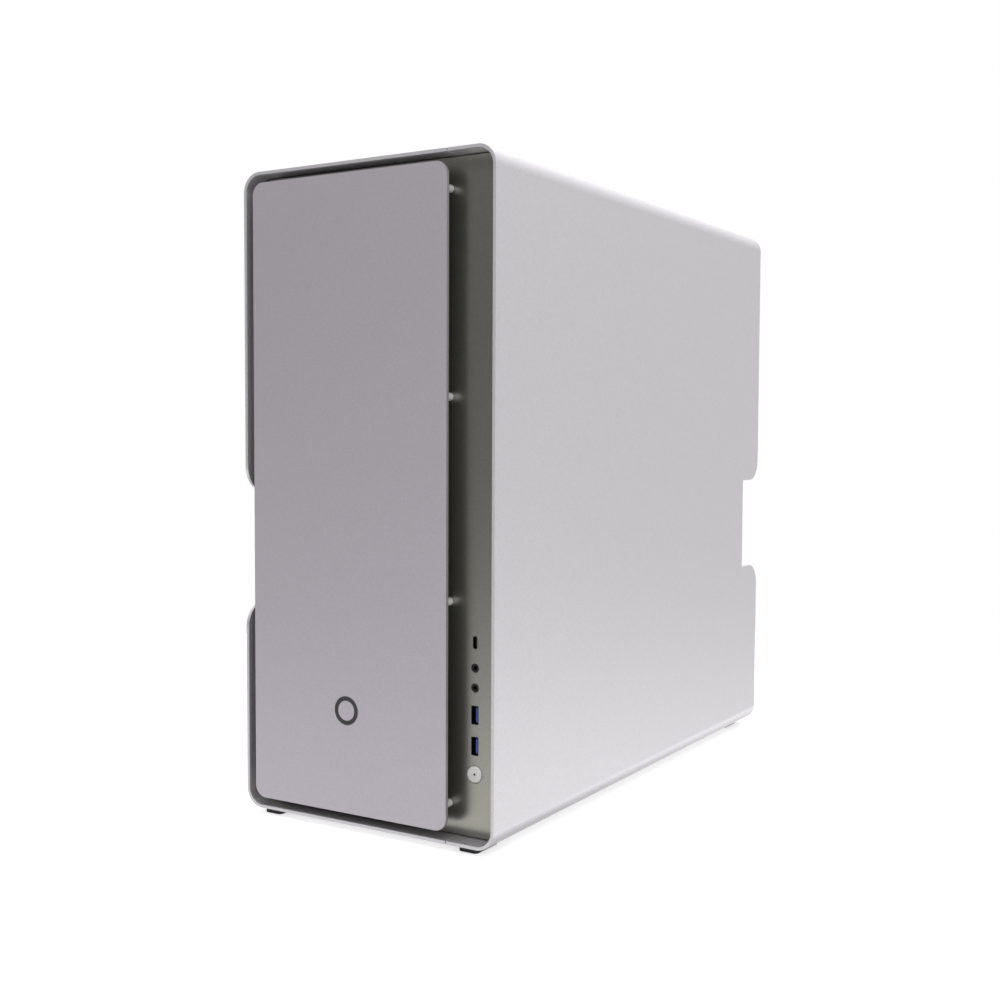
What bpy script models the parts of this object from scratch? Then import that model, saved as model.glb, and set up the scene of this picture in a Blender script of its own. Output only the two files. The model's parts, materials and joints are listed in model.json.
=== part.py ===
"""Desktop computer tower: two U-shaped aluminium shells over a chassis, and a front plate on studs.

Metres.  The front looks along -Y, +X is the right-hand side seen from the front, and Z = 0 is the ground
under the feet.  The origin is at the middle of the footprint.
"""

import math

import bmesh
import bpy

# Outer case
CASE_W = 0.230
CASE_D = 0.5165
SHELL_H = 0.4965
FOOT_H = 0.005
SHELL_T = 0.0025
CORNER_R = 0.015
SEAM_X = 0.0743
SEAM_GAP = 0.001
GAP = 0.0003
WELD = 0.00001

# Hand notches: one in the left shell's front edge, one in the right shell's rear edge
NOTCH_LOW = 0.1622
NOTCH_HIGH = 0.2495
NOTCH_DEPTH = 0.041
NOTCH_R = 0.020

# Front plate on its studs, and the panel behind it
PLATE_LEFT = -0.1059
PLATE_LOW = 0.0087
PLATE_HIGH = 0.4881
PLATE_T = 0.003
PLATE_R = 0.0095
STUD_R = 0.003
STUD_NECK_R = 0.0017
STUD_INSET = 0.007
STUD_LOW = 0.026
STUD_HIGH = 0.4708
STUD_ROWS = 4
RECESS = 0.016
PANEL_T = 0.002
PANEL_GAP = 0.001
PANEL_SLOTS = 24
PANEL_SLOT_W = 0.007
BADGE_H = 0.087
BADGE_R = 0.011
BADGE_INNER_R = 0.0075
BADGE_T = 0.0006

# Ports in the right-hand strip of the front panel
PORT_X = 0.0888
USB_C_H = 0.1456
JACK_HEIGHTS = {"upper": 0.1271, "lower": 0.1126}
USB_A_HEIGHTS = {"upper": 0.0929, "lower": 0.0702}
USB_A_HOLE = (0.0065, 0.0142)
USB_A_SHELL = (0.0057, 0.0131)
USB_C_HOLE = (0.0040, 0.0098)
USB_C_SHELL = (0.0033, 0.0091)
JACK_HOLE_R = 0.0034
JACK_R = 0.0031
JACK_BORE_R = 0.00175
SOCKET_DEPTH = 0.014
SOCKET_BACK_T = 0.001
SOCKET_WALL = 0.0004
USB_A_TONGUE = ((0.0004, -0.0052), (0.0023, 0.0052))
USB_C_TONGUE = ((-0.00035, -0.0033), (0.00035, 0.0033))
TONGUE_SETBACK = 0.0015
IO_BOARD_BEHIND_PORTS = 0.0008
IO_BOARD_LENGTH = 0.030
BUTTON_H = 0.0496
BUTTON_HOLE_R = 0.0067
BUTTON_R = 0.0062
BUTTON_TRAVEL = 0.0018
BUTTON_PROUD = 0.0006
BUTTON_LIP = 0.0012
BUTTON_LIP_T = 0.001
BUTTON_STEM_R = 0.002
BUTTON_STEM = 0.004
SWITCH_SIZE = (0.008, 0.006, 0.008)

# Chassis
SHEET_T = 0.0015
FLOOR_T = 0.002
FLOOR_W = 0.196
REAR_RECESS = 0.0465
TRAY_X = 0.076
CABLE_HOLE = (0.026, 0.070)
CABLE_HOLE_HEIGHTS = (0.115, 0.215, 0.330)
CABLE_HOLE_D = 0.200
TOP_HOLE = (0.080, 0.022)
TOP_HOLE_AT = (0.400, 0.460)
COOLER_WINDOW = 0.110
HOLE_CORNER_R = 0.010
VENT_X = -0.014
VENT_LOW_H = 0.447
VENT_PITCH = 0.012
VENT_ROWS = 3
VENT_SLOT = (0.150, 0.006)
FOOT_SIZE = (0.016, 0.030)
FOOT_CENTRES = {"left": -0.094, "right": 0.089}
FOOT_SETBACK = 0.021

# Fans
FAN_SIZE = 0.120
FAN_T = 0.025
FAN_BORE_R = 0.058
ROTOR_R = 0.0555
HUB_R = 0.020
BLADES = 7
BLADE_T = 0.0014
BLADE_COVER = 0.62
ROTOR_H = 0.019
ROTOR_OFFSET = 0.0015
STRUT_T = 0.003
STRUT_W = 0.004
FAN_CORNER_R = 0.008
VENT_FIELD_ROWS = 9
VENT_FIELD_SLOT_W = 0.007
FAN_X = -0.0158
FRONT_FAN_H = 0.248
FRONT_FANS = 3
REAR_FAN_X = -0.042
REAR_FAN_H = 0.350

# Main board and what sits on it
BOARD_T = 0.0016
BOARD_FACE_X = 0.068
BOARD_D = (0.219, 0.463)
BOARD_H = (0.130, 0.435)
IO_X = (0.0240, 0.0684)
IO_H = (0.2762, 0.4350)
IO_BLOCKS = (0.2880, 0.3110, 0.3330, 0.3550, 0.3790, 0.4120)
NETWORK_BLOCK = 3
IO_BLOCK_X = (0.034, 0.0665)
IO_BLOCK_HALF = 0.0078
IO_BLOCK_DEPTH = 0.018
IO_BODY_DEPTH = 0.026
IO_PORT_STARTS = (0.0045, 0.0185)
IO_PORT_SIZE = (0.0052, 0.0126)
IO_PORT_DEPTH = 0.009
IO_TONGUE = (0.0016, 0.0036)
IO_TONGUE_HALF = 0.0055
NETWORK_PORT_START = 0.003
NETWORK_PORT_SIZE = (0.0085, 0.0118)
NETWORK_PORT_DEPTH = 0.010
IO_SHIELD_T = 0.0008
MEMORY_D = 0.262
MEMORY_PITCH = 0.018
MEMORY_X = 0.032
MEMORY_T = 0.0068
MEMORY_H = (0.275, 0.408)
MEMORY_LIFT = 0.003
SLOT_TOP_H = 0.2627
SLOT_PITCH = 0.02032
SLOTS = 7
CARD_SLOTS = 2
SLOT_X = (-0.045, 0.061)
SLOT_HALF = 0.00625
SLOT_COVER_HALF = 0.0092
SLOT_COVER_MARGINS = (0.004, 0.005)
SLOT_TAB = (0.003, 0.0055)
SLOT_TAB_DEPTH = 0.012
COOLER_D = (0.328, 0.378)
COOLER_H = 0.340
COOLER_X = (-0.088, 0.0677)
FINS = 15
FIN_T = 0.0012
FIN_SPAN = 0.118
FIN_HALF = 0.060
SPINE_HALF = 0.014
COOLER_FAN_SHIFT = -0.012

# Graphics card
CARD_D = 0.267
CARD_X = (-0.047, 0.064)
CARD_BRACKET_T = 0.001
CARD_BRACKET_X = (-0.052, 0.063)
CARD_BRACKET_RISE = (-0.0285, 0.0085)
SHROUD_X = (-0.052, 0.050)
SHROUD_T = 0.036
SHROUD_SETBACK = 0.014
SMALL_FAN_R = 0.042
SMALL_HUB_R = 0.014
SMALL_ROTOR_H = 0.012
SMALL_FAN_X = -0.001
SMALL_FAN_BACK = (0.215, 0.120)
SMALL_FAN_RISE = 0.007
WELL_GAP = 0.002
WELL_DEPTH = 0.016

# Power supply
PSU_X = (-0.088, 0.062)
PSU_H = (0.008, 0.094)
PSU_D = 0.160
PSU_SHEET = 0.0012
INLET_X = 0.036
ROCKER_X = 0.002
PSU_PORT_H = 0.034
PSU_RIM = 0.004
PSU_VENT_INSET = 0.010
PSU_ROTOR_DROP = 0.012
INLET_HALF = (0.0135, 0.0097)
INLET_FLANGE = (0.0155, 0.0115)
INLET_POCKET = (0.0122, 0.0083)
INLET_CUT_GAP = 0.0003
INLET_DEPTH = 0.020
INLET_POCKET_DEPTH = 0.016
INLET_PROUD = 0.0015
ROCKER_HALF = (0.0062, 0.0090)
ROCKER_CUT_HALF = (0.0070, 0.0103)
ROCKER_BACK = 0.0045
ROCKER_PROUD = 0.0035
ROCKER_PIVOT_BACK = 0.001
ROCKER_TILT = math.radians(8)
# Slots over and beside the sockets on its back: rows, first height, pitch and width of each slot
PSU_TOP_SLOTS = (4, 0.054, 0.007, 0.0035)
PSU_SIDE_SLOTS = (5, 0.012, 0.008, 0.004)
PSU_SIDE_SLOT_GAP = 0.018

# Drives
DISK_SIZE = (0.1016, 0.147, 0.0261)
DISK_X = -0.066
DISK_D = 0.100
CRADLE_H = 0.030
CRADLE_D = 0.120
SSD_SIZE = (0.007, 0.100, 0.070)
SSD_D = 0.240
SSD_H = 0.060

# Cables: radii, and routes as (x, distance behind the front, height above the base)
PLUG_X = 0.041
PLUG_D = (0.2225, 0.2325)
PLUG_H = (0.300, 0.352)
MAIN_CABLE_R = 0.0045
MAIN_CABLE_H = 0.060
PORT_CABLE_R = 0.0025

FRONT = -CASE_D / 2
REAR = CASE_D / 2
SIDE = CASE_W / 2
TOP = FOOT_H + SHELL_H
PANEL_BACK = FRONT + RECESS + PANEL_T
REAR_PANEL_Y = REAR - REAR_RECESS - SHEET_T / 2
REAR_INNER_Y = REAR - REAR_RECESS - SHEET_T - GAP
FLOOR_TOP = FOOT_H + SHELL_T + GAP + FLOOR_T
ROOF_LOW = TOP - SHELL_T - GAP - FLOOR_T

FACING = {
    "X": (math.pi / 2, 0, math.pi / 2),
    "Y": (math.pi / 2, 0, 0),
    "Z": (0, 0, 0),
}

FINISHES = {
    "anodised_aluminium": ((0.55, 0.55, 0.57), 0.42, 1.0),
    "satin_panel": ((0.33, 0.33, 0.32), 0.38, 1.0),
    "dark_print": ((0.01, 0.01, 0.01), 0.5, 0.0),
    "steel_sheet": ((0.36, 0.37, 0.38), 0.45, 1.0),
    "plated_steel": ((0.62, 0.62, 0.63), 0.25, 1.0),
    "black_plastic": ((0.015, 0.015, 0.016), 0.55, 0.0),
    "black_rubber": ((0.01, 0.01, 0.01), 0.85, 0.0),
    "circuit_board": ((0.01, 0.03, 0.02), 0.5, 0.0),
    "fin_aluminium": ((0.6, 0.6, 0.61), 0.3, 1.0),
    "black_paint": ((0.012, 0.012, 0.013), 0.4, 0.0),
    "cable_sleeve": ((0.012, 0.012, 0.012), 0.8, 0.0),
}


# Scene and materials

def clear_scene():
    for obj in list(bpy.data.objects):
        bpy.data.objects.remove(obj, do_unlink=True)


def collection(name):
    made = bpy.data.collections.new(name)
    bpy.context.scene.collection.children.link(made)
    return made


def material(finish, name):
    colour, roughness, metallic = FINISHES[finish]
    made = bpy.data.materials.new(f"{name}_{finish}")
    made.use_nodes = True
    shader = made.node_tree.nodes["Principled BSDF"]
    shader.inputs["Base Color"].default_value = (*colour, 1.0)
    shader.inputs["Roughness"].default_value = roughness
    shader.inputs["Metallic"].default_value = metallic
    made.diffuse_color = (*colour, 1.0)
    return made


# Places along the case

def behind_front(distance):
    return FRONT + distance


def above_base(height):
    return FOOT_H + height


# Outlines: lists of (u, v) points

def arc(cu, cv, radius, start, end, steps, flip=1):
    """Points on a circle from start to end degrees; flip = -1 mirrors them in u."""
    turns = [math.radians(start + (end - start) * i / steps) for i in range(steps + 1)]
    return [(cu + flip * radius * math.cos(a), cv + radius * math.sin(a)) for a in turns]


def ring(cu, cv, radius, steps):
    return arc(cu, cv, radius, 0, 360, steps)[:-1]


def rectangle(low_u, low_v, high_u, high_v):
    return [(low_u, low_v), (high_u, low_v), (high_u, high_v), (low_u, high_v)]


def rounded(low_u, low_v, high_u, high_v, radius, steps=4):
    return (
        arc(high_u - radius, high_v - radius, radius, 0, 90, steps)
        + arc(low_u + radius, high_v - radius, radius, 90, 180, steps)
        + arc(low_u + radius, low_v + radius, radius, 180, 270, steps)
        + arc(high_u - radius, low_v + radius, radius, 270, 360, steps)
    )


def centred(cu, cv, size, radius=0.0, steps=3):
    half_u, half_v = size[0] / 2, size[1] / 2
    corners = (cu - half_u, cv - half_v, cu + half_u, cv + half_v)
    return rounded(*corners, radius, steps) if radius else rectangle(*corners)


def slot(cu, cv, length, width):
    """A slot with round ends, along u."""
    reach = (length - width) / 2
    return arc(cu + reach, cv, width / 2, -90, 90, 3) + arc(cu - reach, cv, width / 2, 90, 270, 3)


# Meshes

def evaluated_mesh(obj):
    """The mesh that an object shows, with its modifiers applied; the object is removed."""
    bpy.context.view_layer.update()
    depsgraph = bpy.context.evaluated_depsgraph_get()
    mesh = bpy.data.meshes.new_from_object(obj.evaluated_get(depsgraph))
    bpy.data.objects.remove(obj, do_unlink=True)
    return mesh


def welded(mesh):
    bm = bmesh.new()
    bm.from_mesh(mesh)
    bmesh.ops.remove_doubles(bm, verts=bm.verts, dist=WELD)
    bmesh.ops.recalc_face_normals(bm, faces=bm.faces)
    bm.to_mesh(mesh)
    bm.free()
    return mesh


def flat_mesh(name, outlines, thickness):
    """A flat piece in its own XY plane: the first outline is its edge, the others are holes."""
    curve = bpy.data.curves.new(name, "CURVE")
    curve.dimensions = "2D"
    curve.fill_mode = "BOTH"
    curve.extrude = thickness / 2
    for outline in outlines:
        spline = curve.splines.new("POLY")
        spline.points.add(len(outline) - 1)
        for point, (u, v) in zip(spline.points, outline):
            point.co = (u, v, 0.0, 1.0)
        spline.use_cyclic_u = True
    guide = bpy.data.objects.new(name, curve)
    PARTS.objects.link(guide)
    return welded(evaluated_mesh(guide))


def box_mesh(name, boxes):
    """One or more separate boxes, each given by its lowest and highest corner."""
    bm = bmesh.new()
    for low, high in boxes:
        size = [h - l for l, h in zip(low, high)]
        middle = [(h + l) / 2 for l, h in zip(low, high)]
        corners = bmesh.ops.create_cube(bm, size=1.0)["verts"]
        bmesh.ops.scale(bm, vec=size, verts=corners)
        bmesh.ops.translate(bm, vec=middle, verts=corners)
    mesh = bpy.data.meshes.new(name)
    bm.to_mesh(mesh)
    bm.free()
    return mesh


def cylinder_mesh(name, radius, depth, steps=24):
    bm = bmesh.new()
    bmesh.ops.create_cone(
        bm, cap_ends=True, segments=steps, radius1=radius, radius2=radius, depth=depth
    )
    mesh = bpy.data.meshes.new(name)
    bm.to_mesh(mesh)
    bm.free()
    return mesh


def turned_mesh(name, profile, steps):
    """A turned piece about its own Z: the profile's (radius, height) points run top to bottom."""
    bm = bmesh.new()
    points = [bm.verts.new((radius, 0.0, height)) for radius, height in profile]
    for first, second in zip(points, points[1:]):
        bm.edges.new((first, second))
    mesh = bpy.data.meshes.new(name)
    bm.to_mesh(mesh)
    bm.free()
    guide = bpy.data.objects.new(name, mesh)
    PARTS.objects.link(guide)
    screw = guide.modifiers.new("turn", "SCREW")
    screw.steps = steps
    screw.render_steps = steps
    screw.use_merge_vertices = True
    screw.merge_threshold = WELD
    return welded(evaluated_mesh(guide))


# Objects

def place(name, mesh, finish, at=(0, 0, 0), facing="Z", parent=None, smooth=False):
    """A named part of the computer, with its own material."""
    obj = bpy.data.objects.new(name, mesh)
    PARTS.objects.link(obj)
    obj.location = at
    obj.rotation_euler = FACING[facing]
    if not mesh.materials:
        mesh.materials.append(None)
    obj.material_slots[0].link = "OBJECT"
    obj.material_slots[0].material = material(finish, name)
    if smooth:
        mesh.shade_smooth()
        mesh.set_sharp_from_angle(angle=math.radians(35))
    if parent:
        obj.parent = parent
    return obj


def combine(target, mesh, operation="DIFFERENCE", at=(0, 0, 0), facing="Z"):
    """Cuts a helper shape from a part, or joins it on."""
    helper = bpy.data.objects.new(f"{target.name}_{operation.lower()}", mesh)
    CUTTERS.objects.link(helper)
    helper.location = at
    helper.rotation_euler = FACING[facing]
    helper.hide_render = True
    helper.display_type = "WIRE"
    modifier = target.modifiers.new(helper.name, "BOOLEAN")
    modifier.object = helper
    modifier.operation = operation
    modifier.solver = "EXACT"


def box(name, low, high, finish, parent=None):
    return place(name, box_mesh(name, [(low, high)]), finish, parent=parent)


# Shells

def shell_mesh(name, side, seam_x):
    """Open sheet bent round one side of the case: side is -1 for the left shell, 1 for the right one."""
    corner_x = side * (SIDE - CORNER_R)
    upper = arc(corner_x, TOP - CORNER_R, CORNER_R, 90, 0, 6, side)
    lower = arc(corner_x, FOOT_H + CORNER_R, CORNER_R, 0, -90, 6, side)
    bm = bmesh.new()
    bend = [bm.verts.new((x, FRONT, z)) for x, z in [(seam_x, TOP), *upper, *lower, (seam_x, FOOT_H)]]
    edges = [bm.edges.new(pair) for pair in zip(bend, bend[1:])]
    pulled = bmesh.ops.extrude_edge_only(bm, edges=edges)["geom"]
    moved = [v for v in pulled if isinstance(v, bmesh.types.BMVert)]
    bmesh.ops.translate(bm, vec=(0, CASE_D, 0), verts=moved)
    mesh = bpy.data.meshes.new(name)
    bm.to_mesh(mesh)
    bm.free()
    return mesh


def notch_outline(edge_y, inward):
    """Hand notch in (y, z): its mouth has round corners and its two inner corners are sharp."""
    high, low = above_base(NOTCH_HIGH), above_base(NOTCH_LOW)
    mouth_y = edge_y + inward * NOTCH_R
    outside_y = edge_y - inward * NOTCH_R
    deep_y = edge_y + inward * NOTCH_DEPTH
    return (
        [(outside_y, high + NOTCH_R)]
        + arc(mouth_y, high + NOTCH_R, NOTCH_R, 180, 270, 6, inward)
        + [(deep_y, high), (deep_y, low)]
        + arc(mouth_y, low - NOTCH_R, NOTCH_R, 90, 180, 6, inward)
        + [(outside_y, low - NOTCH_R)]
    )


def foot(name, x, y, shell):
    width, length = FOOT_SIZE
    outline = centred(0, 0, (width, length), 0.003)
    height = FOOT_H - GAP
    place(name, flat_mesh(name, [outline], height), "black_rubber", (x, y, height / 2), parent=shell)


def make_shells():
    sides = {"left": (-1, SEAM_X - SEAM_GAP / 2, FRONT), "right": (1, SEAM_X + SEAM_GAP / 2, REAR)}
    for label, (side, seam_x, notch_edge) in sides.items():
        shell = place(f"{label}_shell", shell_mesh(label, side, seam_x), "anodised_aluminium", smooth=True)
        sheet = shell.modifiers.new("sheet", "SOLIDIFY")
        sheet.thickness = SHELL_T
        sheet.offset = side
        sheet.use_even_offset = True
        inward = 1 if notch_edge == FRONT else -1
        notch = flat_mesh("notch", [notch_outline(notch_edge, inward)], 4 * SHELL_T)
        combine(shell, notch, at=(side * SIDE, 0, 0), facing="X")
        for end, y in (("front", FRONT + FOOT_SETBACK), ("rear", REAR - FOOT_SETBACK)):
            foot(f"foot_{end}_{label}", FOOT_CENTRES[label], y, shell)


# Front plate, panel and ports

def stud_places():
    right_x = SEAM_X - STUD_INSET
    left_x = PLATE_LEFT + STUD_INSET
    pitch = (STUD_HIGH - STUD_LOW) / (STUD_ROWS - 1)
    for label, x in (("left", left_x), ("right", right_x)):
        for row in range(STUD_ROWS):
            yield f"plate_stud_{label}_{row + 1}", x, above_base(STUD_LOW + row * pitch)


def make_front_plate():
    middle = (PLATE_LEFT + SEAM_X) / 2
    outline = rounded(PLATE_LEFT, above_base(PLATE_LOW), SEAM_X, above_base(PLATE_HIGH), PLATE_R, 6)
    plate = place(
        "front_plate", flat_mesh("front_plate", [outline], PLATE_T), "anodised_aluminium",
        (0, FRONT + PLATE_T / 2, 0), "Y",
    )
    badge_z = above_base(BADGE_H)
    inlay = [ring(0, 0, BADGE_R + GAP, 32), ring(0, 0, BADGE_INNER_R - GAP, 32)]
    combine(plate, flat_mesh("inlay", inlay, 2 * (BADGE_T + GAP)), at=(middle, FRONT, badge_z), facing="Y")
    badge = [ring(0, 0, BADGE_R, 32), ring(0, 0, BADGE_INNER_R, 32)]
    ornament = place(
        "front_badge", flat_mesh("front_badge", badge, BADGE_T), "dark_print",
        (middle, FRONT + BADGE_T / 2, badge_z), "Y",
    )
    tie(ornament, plate)
    top = -PLATE_T - GAP
    shoulder = -RECESS + GAP
    tip = -RECESS - PANEL_T
    profile = [
        (0, top), (STUD_R, top), (STUD_R, shoulder), (STUD_NECK_R, shoulder), (STUD_NECK_R, tip), (0, tip),
    ]
    stud_mesh = turned_mesh("plate_stud", profile, 12)
    for name, x, z in stud_places():
        stud = place(name, stud_mesh, "plated_steel", (x, FRONT, z), "Y", smooth=True)
        tie(stud, plate)


def tie(child, parent):
    """Parents a placed piece without moving it."""
    bpy.context.view_layer.update()
    child.parent = parent
    child.matrix_parent_inverse = parent.matrix_world.inverted()


def panel_outline():
    edge = SHELL_T + PANEL_GAP
    return rounded(edge - SIDE, FOOT_H + edge, SIDE - edge, TOP - edge, CORNER_R - edge, 5)


def make_front_panel():
    outlines = [panel_outline()]
    for height in USB_A_HEIGHTS.values():
        outlines.append(centred(PORT_X, above_base(height), USB_A_HOLE, 0.0006, 1))
    outlines.append(centred(PORT_X, above_base(USB_C_H), USB_C_HOLE, USB_C_HOLE[0] / 2.01, 3))
    for height in JACK_HEIGHTS.values():
        outlines.append(ring(PORT_X, above_base(height), JACK_HOLE_R, 16))
    outlines.append(ring(PORT_X, above_base(BUTTON_H), BUTTON_HOLE_R, 24))
    for _, x, z in stud_places():
        outlines.append(ring(x, z, STUD_NECK_R + GAP, 12))
    pitch = FRONT_FANS * FAN_SIZE / PANEL_SLOTS
    for row in range(PANEL_SLOTS):
        height = FRONT_FAN_H + (row - (PANEL_SLOTS - 1) / 2) * pitch
        outlines.append(slot(FAN_X, above_base(height), 0.86 * FAN_SIZE, PANEL_SLOT_W))
    mesh = flat_mesh("front_panel", outlines, PANEL_T)
    place("front_panel", mesh, "satin_panel", (0, FRONT + RECESS + PANEL_T / 2, 0), "Y")


def socket(name, mesh_outlines, height, tongue):
    """A port shell behind the front panel, closed at its back, with a tongue down its middle."""
    mouth = FRONT + RECESS + GAP
    tube = place(
        name, flat_mesh(name, mesh_outlines, SOCKET_DEPTH), "plated_steel",
        (PORT_X, mouth + SOCKET_DEPTH / 2, above_base(height)), "Y",
    )
    half_u = max(u for u, _ in mesh_outlines[0])
    half_v = max(v for _, v in mesh_outlines[0])
    back_low = (PORT_X - half_u, mouth + SOCKET_DEPTH - SOCKET_BACK_T, above_base(height) - half_v)
    back_high = (PORT_X + half_u, mouth + SOCKET_DEPTH + SOCKET_BACK_T, above_base(height) + half_v)
    combine(tube, box_mesh("back", [(back_low, back_high)]), "UNION")
    (low_u, low_v), (high_u, high_v) = tongue
    tongue_low = (PORT_X + low_u, mouth + TONGUE_SETBACK, above_base(height) + low_v)
    tongue_high = (PORT_X + high_u, mouth + SOCKET_DEPTH, above_base(height) + high_v)
    combine(tube, box_mesh("tongue", [(tongue_low, tongue_high)]), "UNION")


def make_ports():
    usb_a = [centred(0, 0, USB_A_SHELL), centred(0, 0, [side - 2 * SOCKET_WALL for side in USB_A_SHELL])]
    for label, height in USB_A_HEIGHTS.items():
        socket(f"usb_a_socket_{label}", usb_a, height, USB_A_TONGUE)
    inner = [side - 2 * SOCKET_WALL for side in USB_C_SHELL]
    usb_c = [centred(0, 0, size, size[0] / 2.01, 3) for size in (USB_C_SHELL, inner)]
    socket("usb_c_socket", usb_c, USB_C_H, USB_C_TONGUE)
    for label, height in JACK_HEIGHTS.items():
        name = f"audio_jack_{label}"
        sleeve = [ring(0, 0, JACK_R, 16), ring(0, 0, JACK_BORE_R, 12)]
        at = (PORT_X, FRONT + RECESS + GAP + SOCKET_DEPTH / 2, above_base(height))
        place(name, flat_mesh(name, sleeve, SOCKET_DEPTH), "black_plastic", at, "Y", smooth=True)
    board_x = PORT_X + USB_A_SHELL[0] / 2 + IO_BOARD_BEHIND_PORTS
    board_y = PANEL_BACK + PANEL_T
    board_margin = 0.010
    box(
        "front_io_board",
        (board_x, board_y, above_base(USB_A_HEIGHTS["lower"] - board_margin)),
        (board_x + BOARD_T, board_y + IO_BOARD_LENGTH, above_base(USB_C_H + board_margin)),
        "circuit_board",
    )


def make_power_button():
    """Round push button with a stem that meets its switch at the end of its travel."""
    lip_r = BUTTON_HOLE_R + BUTTON_LIP
    back = -PANEL_T - GAP
    lip_back = back - BUTTON_LIP_T
    tip = lip_back - BUTTON_STEM
    profile = [
        (0, BUTTON_PROUD), (BUTTON_R, BUTTON_PROUD), (BUTTON_R, back), (lip_r, back), (lip_r, lip_back),
        (BUTTON_STEM_R, lip_back), (BUTTON_STEM_R, tip), (0, tip),
    ]
    at = (PORT_X, FRONT + RECESS, above_base(BUTTON_H))
    cap = turned_mesh("power_button", profile, 24)
    place("power_button", cap, "anodised_aluminium", at, "Y", smooth=True)
    width, depth, height = SWITCH_SIZE
    switch_y = at[1] - tip + BUTTON_TRAVEL + GAP
    box(
        "power_switch", (PORT_X - width / 2, switch_y, at[2] - height / 2),
        (PORT_X + width / 2, switch_y + depth, at[2] + height / 2), "black_plastic",
    )


# Chassis

def make_chassis():
    length = REAR_INNER_Y - GAP - (PANEL_BACK + GAP)
    middle_y = (REAR_INNER_Y - GAP + PANEL_BACK + GAP) / 2
    for name, z in (("chassis_floor", FLOOR_TOP - FLOOR_T / 2), ("chassis_roof", ROOF_LOW + FLOOR_T / 2)):
        outline = centred(0, 0, (FLOOR_W, length), 0.004)
        place(name, flat_mesh(name, [outline], FLOOR_T), "steel_sheet", (0, middle_y, z))
    make_tray(middle_y, length)
    make_rear_panel()


def make_tray(middle_y, length):
    """Main board tray with a window behind the processor and openings for cables."""
    low, high = FLOOR_TOP + GAP, ROOF_LOW - GAP
    front_y, rear_y = middle_y - length / 2, middle_y + length / 2
    cooler_y = behind_front(sum(COOLER_D) / 2)
    outlines = [
        rectangle(front_y, low, rear_y, high),
        centred(cooler_y, above_base(COOLER_H), (COOLER_WINDOW, COOLER_WINDOW), HOLE_CORNER_R),
    ]
    for height in CABLE_HOLE_HEIGHTS:
        outlines.append(centred(behind_front(CABLE_HOLE_D), above_base(height), CABLE_HOLE, HOLE_CORNER_R))
    top_d, top_h = TOP_HOLE_AT
    outlines.append(centred(behind_front(top_d), above_base(top_h), TOP_HOLE, HOLE_CORNER_R))
    mesh = flat_mesh("motherboard_tray", outlines, SHEET_T)
    place("motherboard_tray", mesh, "steel_sheet", (TRAY_X + SHEET_T / 2, 0, 0), "X")


def slot_heights():
    return [SLOT_TOP_H - i * SLOT_PITCH for i in range(SLOTS)]


def fan_vent(cx, height):
    """Round field of slots over a fan, each as long as the circle is wide there."""
    pitch = 2 * FAN_BORE_R / (VENT_FIELD_ROWS + 1)
    margin = 0.002
    for row in range(VENT_FIELD_ROWS):
        rise = (row - (VENT_FIELD_ROWS - 1) / 2) * pitch
        length = 2 * (math.sqrt(FAN_BORE_R**2 - rise**2) - margin)
        yield slot(cx, above_base(height) + rise, length, VENT_FIELD_SLOT_W)


def make_rear_panel():
    psu_low, psu_high = (above_base(h) for h in PSU_H)
    outlines = [
        panel_outline(),
        rectangle(IO_X[0], above_base(IO_H[0]), IO_X[1], above_base(IO_H[1])),
        rectangle(PSU_X[0] + PSU_RIM, psu_low + PSU_RIM, PSU_X[1] - PSU_RIM, psu_high - PSU_RIM),
    ]
    for height in slot_heights():
        low, high = above_base(height - SLOT_HALF), above_base(height + SLOT_HALF)
        outlines.append(rectangle(SLOT_X[0], low, SLOT_X[1], high))
    outlines += fan_vent(REAR_FAN_X, REAR_FAN_H)
    for row in range(VENT_ROWS):
        outlines.append(slot(VENT_X, above_base(VENT_LOW_H + VENT_PITCH * row), *VENT_SLOT))
    mesh = flat_mesh("rear_panel", outlines, SHEET_T)
    place("rear_panel", mesh, "steel_sheet", (0, REAR_PANEL_Y, 0), "Y")


# Fans

def blade_mesh(name, inner_r, outer_r, height):
    """Every blade of a rotor as an open surface, swept back and pitched."""
    bm = bmesh.new()
    for blade in range(BLADES):
        grid = bmesh.ops.create_grid(bm, x_segments=3, y_segments=2, size=1.0)["verts"]
        for vert in grid:
            along = (vert.co.x + 1) / 2
            chord = vert.co.y
            radius = inner_r + (outer_r - inner_r) * along
            width = BLADE_COVER * math.tau / BLADES * (1 + 0.15 * along)
            turn = math.tau * blade / BLADES + 0.35 * along + chord * width / 2
            rise = height * (0.42 * chord - 0.10 * chord**2 + 0.02)
            vert.co = (radius * math.cos(turn), radius * math.sin(turn), rise)
    mesh = bpy.data.meshes.new(name)
    bm.to_mesh(mesh)
    bm.free()
    return mesh


def rotor_mesh(name, radius, hub_r, height):
    """A hub with its blades, about its own Z."""
    blades = bpy.data.objects.new(f"{name}_blades", blade_mesh(name, hub_r - 0.001, radius, height))
    PARTS.objects.link(blades)
    skin = blades.modifiers.new("skin", "SOLIDIFY")
    skin.thickness = BLADE_T
    skin.offset = 0
    solid_blades = evaluated_mesh(blades)
    hub = place(name, cylinder_mesh(name, hub_r, height), "black_plastic")
    combine(hub, solid_blades, "UNION")
    mesh = evaluated_mesh(hub)
    remove_helpers()
    return mesh


def remove_helpers():
    """Clears helper shapes whose part has already been made into a plain mesh."""
    used = {m.object for obj in PARTS.objects for m in obj.modifiers if m.type == "BOOLEAN"}
    for helper in list(CUTTERS.objects):
        if helper not in used:
            bpy.data.objects.remove(helper, do_unlink=True)


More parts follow.
